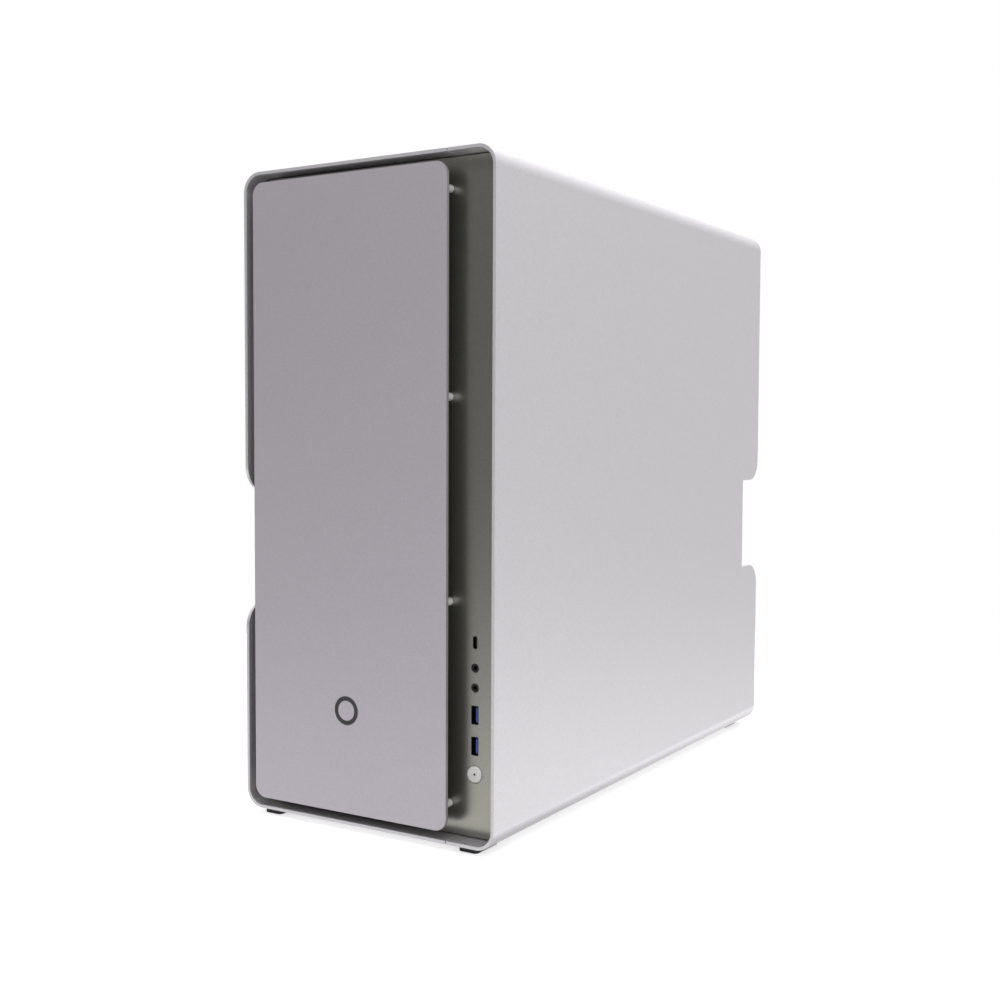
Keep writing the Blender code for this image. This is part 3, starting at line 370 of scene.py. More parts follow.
def arc(cu, cv, radius, start, end, steps=8, flip=1):
    """Points on a circle from start to end degrees; flip = -1 mirrors them in u."""
    turns = [math.radians(start + (end - start) * i / steps) for i in range(steps + 1)]
    return [(cu + flip * radius * math.cos(a), cv + radius * math.sin(a)) for a in turns]


def ring(cu, cv, radius, steps=48):
    return arc(cu, cv, radius, 0, 360, steps)[:-1]


def rounded(low_u, low_v, high_u, high_v, radius, steps=8):
    corners = (
        (high_u - radius, high_v - radius, 0), (low_u + radius, high_v - radius, 90),
        (low_u + radius, low_v + radius, 180), (high_u - radius, low_v + radius, 270),
    )
    return [point for cu, cv, turn in corners for point in arc(cu, cv, radius, turn, turn + 90, steps)]


def oblong(cu, cv, size_u, size_v, radius, steps=6):
    return rounded(cu - size_u / 2, cv - size_v / 2, cu + size_u / 2, cv + size_v / 2, radius, steps)


def mm(*points):
    """Points given in millimetres, as metres."""
    return [tuple(part * MM for part in point) for point in points]


def about(middle, size):
    """Where a stretch of this size round a middle starts and ends."""
    return middle - size / 2, middle + size / 2


def block(x, y, z):
    """A box's lowest and highest corner, from where it starts and ends along X, Y and Z."""
    return tuple(zip(x, y, z))


# ---------------------------------------------------------------- meshes

AXES = {"X": (1, 2, 0), "Y": (0, 2, 1), "Z": (0, 1, 2)}


def linked(name, data):
    obj = bpy.data.objects.new(name, data)
    bpy.context.scene.collection.objects.link(obj)
    return obj


def settled(obj):
    """A plain mesh object of what obj shows, with its modifiers applied."""
    bpy.context.view_layer.update()
    depsgraph = bpy.context.evaluated_depsgraph_get()
    mesh = bpy.data.meshes.new_from_object(obj.evaluated_get(depsgraph))
    name = obj.name
    bpy.data.objects.remove(obj, do_unlink=True)
    return linked(name, mesh)


def cut_out(obj, cutter):
    """What is left of a piece once the cutter's shape is taken out of it."""
    cut = obj.modifiers.new("cut", "BOOLEAN")
    cut.object = cutter
    cut.solver = "EXACT"
    obj = settled(obj)
    bpy.data.objects.remove(cutter, do_unlink=True)
    return obj


def mesh_of(name, fill):
    """An object whose mesh the function fill makes in a bmesh."""
    bm = bmesh.new()
    fill(bm)
    bmesh.ops.recalc_face_normals(bm, faces=bm.faces)
    mesh = bpy.data.meshes.new(name)
    bm.to_mesh(mesh)
    bm.free()
    return linked(name, mesh)


def flat(name, axis, low, high, outlines):
    """A sheet across an axis, from low to high. The first outline is its edge, the others are holes."""
    curve = bpy.data.curves.new(name, "CURVE")
    curve.dimensions = "2D"
    curve.fill_mode = "BOTH"
    curve.extrude = (high - low) / 2
    for outline in outlines:
        spline = curve.splines.new("POLY")
        spline.points.add(len(outline) - 1)
        for point, (u, v) in zip(spline.points, outline):
            point.co = (u, v, 0.0, 1.0)
        spline.use_cyclic_u = True
    obj = settled(linked(name, curve))
    u_axis, v_axis, w_axis = AXES[axis]
    bm = bmesh.new()
    bm.from_mesh(obj.data)
    bmesh.ops.remove_doubles(bm, verts=bm.verts, dist=0.005 * MM)
    for vert in bm.verts:
        u, v, w = vert.co
        vert.co[u_axis], vert.co[v_axis], vert.co[w_axis] = u, v, w + (low + high) / 2
    bmesh.ops.recalc_face_normals(bm, faces=bm.faces)
    bm.to_mesh(obj.data)
    bm.free()
    return obj


def boxes(name, corners):
    """Separate boxes as one piece, each from its lowest and highest corner."""
    def fill(bm):
        for low, high in corners:
            made = bmesh.ops.create_cube(bm, size=1.0)["verts"]
            bmesh.ops.scale(bm, vec=[h - l for l, h in zip(low, high)], verts=made)
            bmesh.ops.translate(bm, vec=[(h + l) / 2 for l, h in zip(low, high)], verts=made)
    return mesh_of(name, fill)


TURNS = {
    "-Y": (math.pi / 2, 0, 0), "+Y": (-math.pi / 2, 0, 0), "+Z": (0, 0, 0), "-Z": (math.pi, 0, 0),
    "-X": (0, -math.pi / 2, 0), "+X": (0, math.pi / 2, 0),
}


def at_each(obj, places):
    """The piece's mesh copied to each place, as one mesh."""
    bm = bmesh.new()
    for at in places:
        copy = obj.data.copy()
        copy.transform(Matrix.Translation(at))
        bm.from_mesh(copy)
        bpy.data.meshes.remove(copy)
    bm.to_mesh(obj.data)
    bm.free()
    return obj


def joined(name, parts):
    """Several finished parts as one piece."""
    bm = bmesh.new()
    for part in parts:
        plain = settled(part)
        bm.from_mesh(plain.data)
        bpy.data.objects.remove(plain, do_unlink=True)
    mesh = bpy.data.meshes.new(name)
    bm.to_mesh(mesh)
    bm.free()
    return linked(name, mesh)


def turned(name, profile, places, way="-Y", steps=48):
    """A profile of (radius, height) points spun about an axis that points this way, once at each place."""
    def fill(bm):
        points = [bm.verts.new((radius, 0, height)) for radius, height in profile]
        edges = [bm.edges.new(pair) for pair in zip(points, points[1:])]
        bmesh.ops.spin(bm, geom=points + edges, cent=(0, 0, 0), axis=(0, 0, 1), angle=math.tau, steps=steps)
        bmesh.ops.remove_doubles(bm, verts=bm.verts, dist=0.005 * MM)
        bmesh.ops.transform(bm, matrix=Euler(TURNS[way]).to_matrix().to_4x4(), verts=bm.verts)
    return at_each(mesh_of(name, fill), places)


def tube(name, radius, points):
    """A round bar or wire along these points."""
    curve = bpy.data.curves.new(name, "CURVE")
    curve.dimensions = "3D"
    curve.bevel_depth = radius
    curve.bevel_resolution = 3
    curve.use_fill_caps = True
    spline = curve.splines.new("POLY")
    spline.points.add(len(points) - 1)
    for point, at in zip(spline.points, points):
        point.co = (*at, 1.0)
        point.radius = 1.0
    spline.use_smooth = True
    return linked(name, curve)


def soft_edges(obj, width=EDGE, segments=2, angle=32):
    """Small facets along the piece's sharp edges; its flat faces stay flat."""
    bevel = obj.modifiers.new("edges", "BEVEL")
    bevel.width = width
    bevel.segments = segments
    bevel.limit_method = "ANGLE"
    bevel.angle_limit = math.radians(angle)
    return obj


def round_face(obj, angle=30):
    """Smooth shading over bends and turned faces, broken at edges sharper than the angle."""
    obj.data.shade_smooth()
    obj.data.set_sharp_from_angle(angle=math.radians(angle))
    level = obj.modifiers.new("level", "WEIGHTED_NORMAL")
    level.weight = 80
    level.keep_sharp = True
    return obj


def show(obj, material, replaces=(), body="chassis"):
    """Gives a finished piece its material, the CAD nodes it stands for and the body it rides on."""
    obj.data.materials.clear()
    obj.data.materials.append(material)
    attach(obj, body)
    if replaces:
        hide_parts(*replaces)
    return obj


def finish_nodes(material, *nodes):
    """CAD nodes whose shape is right keep it and take this finish."""
    for node in nodes:
        obj = frame["nodes"][node]
        obj.data.materials.clear()
        obj.data.materials.append(material)


# ---------------------------------------------------------------- covers and feet

def notch_outline(edge_y, inward):
    """Hand notch in (y, z): round corners at its mouth, sharp ones inside."""
    mouth_y = edge_y + inward * NOTCH_R
    outside_y = edge_y - inward * NOTCH_R
    deep_y = edge_y + inward * NOTCH_DEPTH
    return (
        [(outside_y, NOTCH_HIGH + NOTCH_R)]
        + arc(mouth_y, NOTCH_HIGH + NOTCH_R, NOTCH_R, 180, 270, 16, inward)
        + [(deep_y, NOTCH_HIGH), (deep_y, NOTCH_LOW)]
        + arc(mouth_y, NOTCH_LOW - NOTCH_R, NOTCH_R, 90, 180, 16, inward)
        + [(outside_y, NOTCH_LOW - NOTCH_R)]
    )


def cover(label, side, notch_at_front):
    """Bent sheet round one side of the case, with its hand notch cut out."""
    low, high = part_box(f"{label}_shell")
    seam_x, outer_x = (high.x, low.x) if side < 0 else (low.x, high.x)
    corner_x = outer_x - side * CORNER_R
    inner_r = CORNER_R - SHEET_T
    outer = (
        [(seam_x, high.z)]
        + arc(corner_x, high.z - CORNER_R, CORNER_R, 90, 0, 14, side)
        + arc(corner_x, low.z + CORNER_R, CORNER_R, 0, -90, 14, side)
        + [(seam_x, low.z)]
    )
    inner = (
        [(seam_x, low.z + SHEET_T)]
        + arc(corner_x, low.z + CORNER_R, inner_r, -90, 0, 14, side)
        + arc(corner_x, high.z - CORNER_R, inner_r, 0, 90, 14, side)
        + [(seam_x, high.z - SHEET_T)]
    )
    obj = flat(f"{label}_cover", "Y", low.y, high.y, [outer + inner])
    edge_y, inward = (low.y, 1) if notch_at_front else (high.y, -1)
    cutter = flat("notch", "X", *about(outer_x, 4 * SHEET_T), [notch_outline(edge_y, inward)])
    return round_face(settled(soft_edges(cut_out(obj, cutter), 0.8 * MM, 3, 50)))


def make_covers():
    # Both covers come from one sheet and one anodising bath.
    anodised = blasted_anodising("blasted_silver_anodising", "BAB9BB", "C0BFC1", (0.40, 0.48))
    for label, side in (("left", -1), ("right", 1)):
        obj = cover(label, side, side < 0)
        show(obj, anodised, [f"{label}_shell"], f"{label}_cover")
        for end in ("front", "rear"):
            low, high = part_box(f"foot_{end}_{label}")
            edge = rounded(low.x, low.y, high.x, high.y, 3 * MM)
            pad = soft_edges(flat(f"{end}_{label}_foot", "Z", low.z, high.z, [edge]), 0.8 * MM, 3)
            show(pad, foot_rubber(), [f"foot_{end}_{label}"], f"{label}_cover")


# ---------------------------------------------------------------- front plate

def make_front_plate():
    """Flat plate with rounded corners, and a ring inlaid in a groove near its lower edge."""
    anodised = blasted_anodising("blasted_plate_anodising", "AAA6AC", "AFABB1", (0.42, 0.50))
    low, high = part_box("front_plate")
    badge_low, badge_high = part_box("front_badge")
    centre = (badge_low + badge_high) / 2
    outer_r = (badge_high.x - badge_low.x) / 2
    inner_r = outer_r - 3.5 * MM
    inlay_depth = 0.3 * MM
    plate = flat("front_plate_face", "Y", low.y, high.y, [rounded(low.x, low.z, high.x, high.z, PLATE_R, 14)])
    groove = flat(
        "groove", "Y", low.y - 1 * MM, low.y + inlay_depth,
        [ring(centre.x, centre.z, outer_r, 64), ring(centre.x, centre.z, inner_r, 64)],
    )
    plate = soft_edges(cut_out(plate, groove), 0.3 * MM, 2, 50)
    show(plate, anodised, ["front_plate"], "front_cover")
    clear = 0.05 * MM
    mark = flat(
        "ring_inlay", "Y", low.y + 0.1 * MM, low.y + inlay_depth - 0.02 * MM,
        [ring(centre.x, centre.z, outer_r - clear, 64), ring(centre.x, centre.z, inner_r + clear, 64)],
    )
    black = moulded("printed_black_inlay", "17171A", "1E1E21", (0.4, 0.5), 0.6)
    show(mark, black, ["front_badge"], "front_cover")


def stud_places():
    """Each stud's middle in x and z, and its radius."""
    places = {}
    for node in frame["nodes"]:
        if node.startswith("plate_stud"):
            low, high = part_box(node)
            places[node] = ((low.x + high.x) / 2, (low.z + high.z) / 2, (high.x - low.x) / 2)
    return places


def make_studs():
    """Stand-off studs between the plate and the panel: a short barrel with chamfered ends and a neck."""
    chamfer, neck_r, neck_length = 0.4 * MM, 1.6 * MM, 2.2 * MM
    for node, (x, z, radius) in stud_places().items():
        low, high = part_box(node)
        end = low.y - high.y
        shoulder = end + neck_length
        profile = [
            (0, 0), (radius - chamfer, 0), (radius, -chamfer), (radius, shoulder + chamfer),
            (radius - chamfer, shoulder), (neck_r, shoulder), (neck_r, end), (0, end),
        ]
        stud = turned(node.replace("plate_stud", "stud"), profile, [(x, low.y, z)])
        show(round_face(stud), stud_anodising(), [node], BODY_OF[node])


# ---------------------------------------------------------------- front panel and its ports

def port_boxes():
    return {node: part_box(node) for node in frame["nodes"] if "usb" in node or "audio" in node}


def make_front_panel():
    """Recessed panel, with openings for the ports, the button, the studs' necks and the front fans' air."""
    low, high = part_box("front_panel")
    outlines = [rounded(low.x, low.z, high.x, high.z, 11.5 * MM, 12)]
    clear = 0.35 * MM
    for node, (port_low, port_high) in port_boxes().items():
        centre, size = (port_low + port_high) / 2, port_high - port_low
        if "audio" in node:
            outlines.append(ring(centre.x, centre.z, size.x / 2 + clear, 40))
        else:
            radius = size.x / 2 + clear - 0.01 * MM if "usb_c" in node else 0.5 * MM
            outlines.append(oblong(centre.x, centre.z, size.x + 2 * clear, size.z + 2 * clear, radius, 8))
    x, z, radius = button_place()
    outlines.append(ring(x, z, radius + 0.45 * MM, 64))
    outlines += [ring(stud_x, stud_z, 2 * MM, 24) for stud_x, stud_z, _ in stud_places().values()]
    fan_low, fan_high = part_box("front_fan_1_frame")[0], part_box("front_fan_3_frame")[1]
    rows = 24
    pitch = (fan_high.z - fan_low.z) / rows
    for row in range(rows):
        row_z = fan_low.z + (row + 0.5) * pitch
        outlines.append(oblong((fan_low.x + fan_high.x) / 2, row_z, 103 * MM, 7 * MM, 3.49 * MM, 8))
    panel = flat("front_panel_face", "Y", low.y, high.y, outlines)
    show(panel, satin_panel_anodising(), ["front_panel"])


def make_front_ports():
    dark_nickel, black, blue = black_nickel(), jack_plastic(), blue_plastic()
    for node, (low, high) in port_boxes().items():
        centre, size = (low + high) / 2, high - low
        back_y = high.y - 1 * MM
        if "audio" in node:
            sleeve = flat(
                f"{node}_sleeve", "Y", low.y, high.y,
                [ring(centre.x, centre.z, size.x / 2, 40), ring(centre.x, centre.z, 1.75 * MM, 32)],
            )
            soft_edges(sleeve, 0.25 * MM, 2, 50)
            show(sleeve, black, [node])
            contact = flat(
                f"{node}_contact", "Y", low.y + 2 * MM, back_y,
                [ring(centre.x, centre.z, 1.74 * MM, 32), ring(centre.x, centre.z, 1.45 * MM, 32)],
            )
            show(contact, dark_nickel)
            continue
        corner = size.x / 2 - 0.01 * MM if "usb_c" in node else 0.5 * MM
        inner = max(corner - PORT_WALL, 0.2 * MM)
        shell = flat(
            f"{node}_shell", "Y", low.y, back_y,
            [
                oblong(centre.x, centre.z, size.x, size.z, corner, 8),
                oblong(centre.x, centre.z, size.x - 2 * PORT_WALL, size.z - 2 * PORT_WALL, inner, 8),
            ],
        )
        show(soft_edges(shell, 0.1 * MM, 1, 50), dark_nickel, [node])
        back = boxes(f"{node}_back", [block((low.x, high.x), (back_y, high.y), (low.z, high.z))])
        show(back, black)
        if "usb_c" in node:
            bar = block(about(centre.x, 0.7 * MM), (low.y + 1.2 * MM, back_y), about(centre.z, 6.6 * MM))
        else:
            side_x = (centre.x + 0.2 * MM, centre.x + 2.2 * MM)
            bar = block(side_x, (low.y + 0.8 * MM, back_y), about(centre.z, 10.8 * MM))
        tongue = soft_edges(boxes(f"{node}_tongue", [bar]), 0.2 * MM)
        show(tongue, black if "usb_c" in node else blue)


def button_place():
    """The power button's centre and the radius of its cap."""
    low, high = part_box("power_button")
    return (low.x + high.x) / 2, (low.z + high.z) / 2, 6.2 * MM


def make_power_button():
    """Dished cap on a flange and a stem, with a small smoked light in its middle."""
    low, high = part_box("power_button")
    x, z, radius = button_place()
    depth = high.y - low.y
    flange_r = (high.x - low.x) / 2
    light_r, stem_r = 0.85 * MM, 2 * MM
    dish = 0.12 * MM
    steps = 6
    face = [
        (1.0 * MM + (radius - 1.6 * MM) * i / steps, -dish * (1 - (i / steps) ** 2)) for i in range(steps + 1)
    ]
    profile = [
        (0, -1.2 * MM), (light_r, -1.2 * MM), (light_r, -dish - 0.1 * MM), *face,
        (radius - 0.4 * MM, 0), (radius, -0.4 * MM), (radius, -2.9 * MM), (flange_r, -2.9 * MM),
        (flange_r, -3.9 * MM), (stem_r, -3.9 * MM), (stem_r, -depth), (0, -depth),
    ]
    button = round_face(turned("power_button_cap", profile, [(x, low.y, z)], steps=64))
    show(button, turned_aluminium((x, low.y, z)), ["power_button"], "button")
    lens = mm((0, 0), (0.6, -0.06), (0.8, -0.25), (0.8, -0.9), (0, -0.9))
    dot = turned("power_light", lens, [(x, low.y + dish + 0.1 * MM, z)], steps=24)
    dot.data.shade_smooth()
    smoked = moulded("smoked_lens", "08080A", "0E0E10", (0.2, 0.3), 0.6)
    show(dot, smoked, body="button")


# ---------------------------------------------------------------- chassis sheets and the back

def screws(name, places, way, head_r=3 * MM, rise=1.9 * MM):
    """Zinc-plated pan-head screws with a round socket, standing out of a sheet this way."""
    profile = [
        (0, 0.35 * rise), (0.42 * head_r, 0.35 * rise), (0.46 * head_r, rise), (0.72 * head_r, rise),
        (0.94 * head_r, 0.72 * rise), (head_r, 0.3 * rise), (head_r, 0),
    ]
    show(round_face(turned(name, profile, places, way, 18), 40), zinc_plate())


def honeycomb(low_u, low_v, high_u, high_v, pitch=VENT_PITCH, wall=VENT_WALL, keep=lambda u, v: True):
    """Hexagonal holes on a triangular grid in a rectangle, wherever keep(u, v) holds."""
    row_h = pitch * math.sqrt(3) / 2
    rows = int((high_v - low_v) / row_h)
    corner_r = (pitch - wall) / math.sqrt(3)
    turns = [k * math.tau / 6 for k in range(6)]
    holes = []
    for row in range(rows + 1):
        v = (low_v + high_v) / 2 + (row - rows / 2) * row_h
        across = int((high_u - low_u) / pitch) - row % 2
        for column in range(across + 1):
            u = (low_u + high_u) / 2 + (column - across / 2) * pitch
            if keep(u, v):
                holes.append([(u + corner_r * math.sin(a), v + corner_r * math.cos(a)) for a in turns])
    return holes


def box_outline(low, high, inset=0.0, radius=0.5 * MM):
    """The (x, z) outline of a box seen from the back."""
    return rounded(low.x + inset, low.z + inset, high.x - inset, high.z - inset, radius, 3)


def fan_corners(centre, y):
    """A fan's four screw places at this depth."""
    return [(x, y, z) for x in about(centre.x, FAN_SCREWS) for z in about(centre.z, FAN_SCREWS)]


def slot_z(row):
    """Height of a card slot's middle; row 0 is the top one."""
    return SLOT_TOP_Z - row * SLOT_PITCH


def make_rear_panel():
    """Back sheet: openings for the ports, card slots and power supply, and two fields of air holes."""
    low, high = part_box("rear_panel")
    fan_low, fan_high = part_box("rear_fan_frame")
    fan = (fan_low + fan_high) / 2
    psu_low, psu_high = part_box("psu_case")
    cover_low, cover_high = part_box("slot_covers")
    outlines = [
        rounded(low.x, low.z, high.x, high.z, CORNER_R - 3.5 * MM, 12),
        box_outline(*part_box("io_shield")),
        box_outline(psu_low, psu_high, 4 * MM, 2 * MM),
    ]
    slot_low_x, slot_high_x = cover_low.x + 4 * MM, cover_high.x - 5 * MM
    for z in map(slot_z, range(SLOTS)):
        outlines.append(rounded(slot_low_x, z - SLOT_HALF, slot_high_x, z + SLOT_HALF, 1 * MM, 3))
    vent_r = FAN_BORE_R - 1.5 * MM
    outlines += honeycomb(
        fan.x - vent_r, fan.z - vent_r, fan.x + vent_r, fan.z + vent_r,
        keep=lambda u, v: math.hypot(u - fan.x, v - fan.z) < vent_r - 2.5 * MM,
    )
    outlines += honeycomb(low.x + 22.5 * MM, high.z - 48 * MM, high.x - 50.5 * MM, high.z - 16 * MM)
    panel = soft_edges(flat("rear_panel_sheet", "Y", low.y, high.y, outlines), 0.2 * MM, 1, 50)
    show(panel, powder_coat(), ["rear_panel"])
    places = fan_corners(fan, high.y)
    for x in (psu_low.x + 6 * MM, psu_high.x - 6 * MM):
        places += [(x, high.y, psu_low.z + rise) for rise in (2.2 * MM, 83.8 * MM)]
    screws("rear_screws", places, "+Y", 2.6 * MM, 1.4 * MM)


def make_slot_covers():
    """Covers on the free card slots: each has its own air slots and a screw on the strip beside it."""
    low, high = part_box("slot_covers")
    half = 9.2 * MM
    cover_t = 1.5 * MM
    covers = []
    for z in map(slot_z, range(CARD_SLOTS, SLOTS)):
        outlines = [rounded(low.x, z - half, high.x, z + half, 1.5 * MM, 4)]
        for step in range(9):
            outlines.append(oblong(low.x + (17 + 11 * step) * MM, z, 8 * MM, 2.4 * MM, 1.19 * MM, 4))
        covers.append(flat("cover", "Y", high.y - cover_t, high.y, outlines))
    strip = block((high.x - 2.5 * MM, high.x), (low.y, high.y - 1.6 * MM), (low.z, high.z))
    piece = soft_edges(joined("slot_cover_row", covers + [boxes("strip", [strip])]), 0.2 * MM, 1, 50)
    show(piece, powder_coat(), ["slot_covers"])
    places = [(high.x - 1 * MM, low.y + 4 * MM, slot_z(row)) for row in range(SLOTS)]
    screws("slot_screws", places, "-X", 2.8 * MM, 1.8 * MM)


def make_chassis_sheets():
    """Coat on the sheets, the screws that hold them, and the posts that the main board stands on."""
    finish_nodes(powder_coat(), "chassis_floor", "chassis_roof", "motherboard_tray", "drive_cradle")
    roof_low, roof_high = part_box("chassis_roof")
    floor_low, floor_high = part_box("chassis_floor")
    tray_low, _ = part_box("motherboard_tray")
    board_low, board_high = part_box("motherboard")
    along = [roof_low.y + (roof_high.y - roof_low.y) * part for part in (0.06, 0.35, 0.65, 0.94)]
    lower = [(x, y, floor_high.z) for y in along for x in (floor_low.x + 5 * MM, floor_high.x - 6 * MM)]
    screws("floor_screws", lower, "+Z")
    upper = [(x, y, roof_low.z) for y in along for x in (roof_low.x + 5 * MM, roof_high.x - 28 * MM)]
    screws("roof_screws", upper, "-Z")
    inset = 6 * MM
    corners = [
        (board_low.x, y, z)
        for y in (board_low.y + inset, (board_low.y + board_high.y) / 2, board_high.y - inset)
        for z in (board_low.z + inset, board_high.z - inset)
    ]
    post_r, post_h = 3 * MM, tray_low.x - board_high.x
    post = [(0, 0), (post_r, 0), (post_r, post_h), (0, post_h)]
    legs = turned("board_posts", post, [(board_high.x, y, z) for _, y, z in corners], "+X", 6)
    show(legs, brass())
    screws("board_screws", corners, "-X", 2.8 * MM, 1.6 * MM)


# ---------------------------------------------------------------- rear ports

def make_rear_ports():
    """Port blocks on the main board's rear edge, their tongues and contacts, and the shield round them."""
    low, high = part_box("rear_io_ports")
    shield_low, shield_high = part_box("io_shield")
    mouth_y, outer_x = high.y, low.x
    inner_x = outer_x + 32.5 * MM
    back_y = mouth_y - 16 * MM
    contact_y = (mouth_y - 9 * MM, mouth_y - 2 * MM)
    tongue_y = (mouth_y - 10 * MM, mouth_y - 1 * MM)
    half = 7.8 * MM
    clear = 0.3 * MM
    outlines = [box_outline(shield_low, shield_high)]
    shells, blue, black, gold = [], [], [], []
    for row, z in enumerate(REAR_PORT_Z):
        low_z, high_z = z - half, z + half
        outlines.append(rounded(outer_x - clear, low_z - clear, inner_x + clear, high_z + clear, clear, 2))
        face = [rounded(outer_x, low_z, inner_x, high_z, 0.6 * MM, 3)]
        if row == NETWORK_ROW:
            face.append(oblong(outer_x + 7.25 * MM, z, 8.5 * MM, 11.8 * MM, 0.4 * MM, 2))
            for pin in range(8):
                pin_z = z + (pin - 3.5) * 1.2 * MM
                gold.append(block((outer_x + 4 * MM, outer_x + 6 * MM), contact_y, about(pin_z, 0.5 * MM)))
        else:
            tongues = blue if row % 2 else black
            for x in (outer_x + 4.5 * MM, outer_x + 18.5 * MM):
                face.append(oblong(x + 2.6 * MM, z, 5.2 * MM, 12.6 * MM, 0.4 * MM, 2))
                tongues.append(block((x + 1.6 * MM, x + 3.6 * MM), tongue_y, about(z, 11 * MM)))
                for pin in range(4):
                    pin_z = z + (pin - 1.5) * 2.3 * MM
                    gold.append(block((x + 1.4 * MM, x + 1.6 * MM), contact_y, about(pin_z, 0.8 * MM)))
        shells.append(flat("block", "Y", back_y, mouth_y, face))
    body = boxes("body", [block((outer_x, high.x), (low.y, back_y), (low.z, high.z))])
    piece = soft_edges(joined("rear_port_shells", shells + [body]), 0.15 * MM, 1, 50)
    show(piece, nickel_plate(), ["rear_io_ports"])
    show(soft_edges(boxes("rear_blue_tongues", blue), 0.2 * MM, 1), blue_plastic())
    show(soft_edges(boxes("rear_black_tongues", black), 0.2 * MM, 1), jack_plastic())
    show(boxes("rear_port_contacts", gold), gold_plate())
    for step in range(5):
        vent_z = shield_low.z + (24 + 28 * step) * MM
        outlines.append(oblong(outer_x - 6.5 * MM, vent_z, 2.4 * MM, 16 * MM, 1.19 * MM, 4))
    shield = soft_edges(flat("port_shield", "Y", shield_low.y, shield_high.y, outlines), 0.15 * MM, 1, 50)
    show(shield, nickel_plate(), ["io_shield"])


# ---------------------------------------------------------------- fans

def rotor_blades(name, inner_r, outer_r, height, blades):
    """Swept and pitched fan blades about +Z."""
    cover = 0.62
    flare = 0.15
    sweep = 0.35

    def fill(bm):
        for blade in range(blades):
            grid = bmesh.ops.create_grid(bm, x_segments=10, y_segments=8, size=1.0)["verts"]
            for vert in grid:
                along = (vert.co.x + 1) / 2
                chord = vert.co.y
                radius = inner_r + (outer_r - inner_r) * along
                width = cover * math.tau / blades * (1 + flare * along)
                turn = math.tau * blade / blades + sweep * along + chord * width / 2
                rise = height * (0.42 * chord - 0.10 * chord**2 + 0.02) * (1 - 0.12 * along)
                vert.co = (radius * math.cos(turn), radius * math.sin(turn), rise)
    obj = mesh_of(name, fill)
    obj.data.shade_smooth()
    skin = obj.modifiers.new("skin", "SOLIDIFY")
    skin.thickness = 1.3 * MM
    skin.offset = 0
    return obj


def rotor(node, way, plastic, cap, hub_r, blades):
    """Rotor in place of its CAD node: blades on a hub with a rounded rim and a shallow ring on its cap."""
    low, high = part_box(node)
    axis = 2 if way[1] == "Z" else 1
    centre = Vector(joint_of(node)["pos_m"])
    centre[axis] = (low[axis] + high[axis]) / 2
    outer_r = high.x - centre.x
    height = high[axis] - low[axis]
    blade_ring = rotor_blades("blades", hub_r - 1 * MM, outer_r - 0.4 * MM, height, blades)
    top = height / 2
    rim, well = top - 0.1 * MM, top - 0.7 * MM
    hub_profile = [
        (0, well), (hub_r * 0.62, well), (hub_r * 0.66, rim), (hub_r - 2 * MM, rim),
        (hub_r - 0.6 * MM, top - 0.6 * MM), (hub_r, top - 2 * MM), (hub_r, -top), (0, -top),
    ]
    hub = round_face(turned("hub", hub_profile, [(0, 0, 0)], "+Z", 40))
    piece = joined(f"{node}_moulding", [blade_ring, hub])
    piece.data.transform(Matrix.Translation(centre) @ Euler(TURNS[way]).to_matrix().to_4x4())
    show(piece, plastic, [node], node)
    disc_r, disc_top = hub_r * 0.6, top - 0.35 * MM
    disc_profile = [(0, disc_top), (disc_r, disc_top), (disc_r, well), (0, well)]
    disc = turned(f"{node}_cap", disc_profile, [centre], way, 40)
    show(disc, cap, body=node)


def fan_frame(node, plastic, rubber, cap):
    """Fan frame: two corner flanges, a round duct between them, screw posts, struts and the motor cup."""
    low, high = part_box(node)
    centre = (low + high) / 2
    flange_t, strut_t = 3.6 * MM, 3 * MM
    corners = [(x, z) for x, _, z in fan_corners(centre, 0)]
    square = rounded(low.x, low.z, high.x, high.z, 8 * MM, 6)
    bore = ring(centre.x, centre.z, FAN_BORE_R, 56)
    duct = ring(centre.x, centre.z, FAN_BORE_R + 1.7 * MM, 56)
    holes = [ring(x, z, 2.15 * MM, 16) for x, z in corners]
    parts = [flat("flange", "Y", y, y + flange_t, [square, bore, *holes]) for y in (low.y, high.y - flange_t)]
    parts.append(flat("duct", "Y", low.y + flange_t, high.y - flange_t, [duct, bore]))
    for (x, z), hole in zip(corners, holes):
        parts.append(flat("post", "Y", low.y + flange_t, high.y - flange_t, [ring(x, z, 3.8 * MM, 20), hole]))
    for turn in range(4):
        strut = []
        for side, steps in ((-1, range(7)), (1, range(6, -1, -1))):
            for step in steps:
                radius = 20 * MM + (FAN_BORE_R - 19 * MM) * step / 6
                a = math.radians(90 * turn) + side * 1.6 * MM / radius + 0.30 * (step / 6) ** 2
                strut.append((centre.x + radius * math.cos(a), centre.z + radius * math.sin(a)))
        parts.append(flat("strut", "Y", high.y - strut_t, high.y - 0.3 * MM, [strut]))
    cup = mm((0, 0), (20.4, 0), (21, 0.5), (21, 3), (0, 3))
    parts.append(turned("cup", cup, [(centre.x, high.y, centre.z)], "-Y", 40))
    piece = soft_edges(joined(f"{node}_moulding", parts), 0.3 * MM, 1, 50)
    show(piece, plastic, [node])
    disc = mm((0, -0.05), (16, -0.05), (16, 0.1), (0, 0.1))
    show(turned(f"{node}_label", disc, [(centre.x, high.y, centre.z)], "-Y", 40), cap)
    pads = []
    for x, z in corners:
        pad = [oblong(x, z, 12.4 * MM, 12.4 * MM, 5 * MM), ring(x, z, 2.6 * MM, 16)]
        pads += [flat("pad", "Y", y, y + 0.35 * MM, pad) for y in (low.y - 0.05 * MM, high.y - 0.3 * MM)]
    show(joined(f"{node}_pads", pads), rubber)


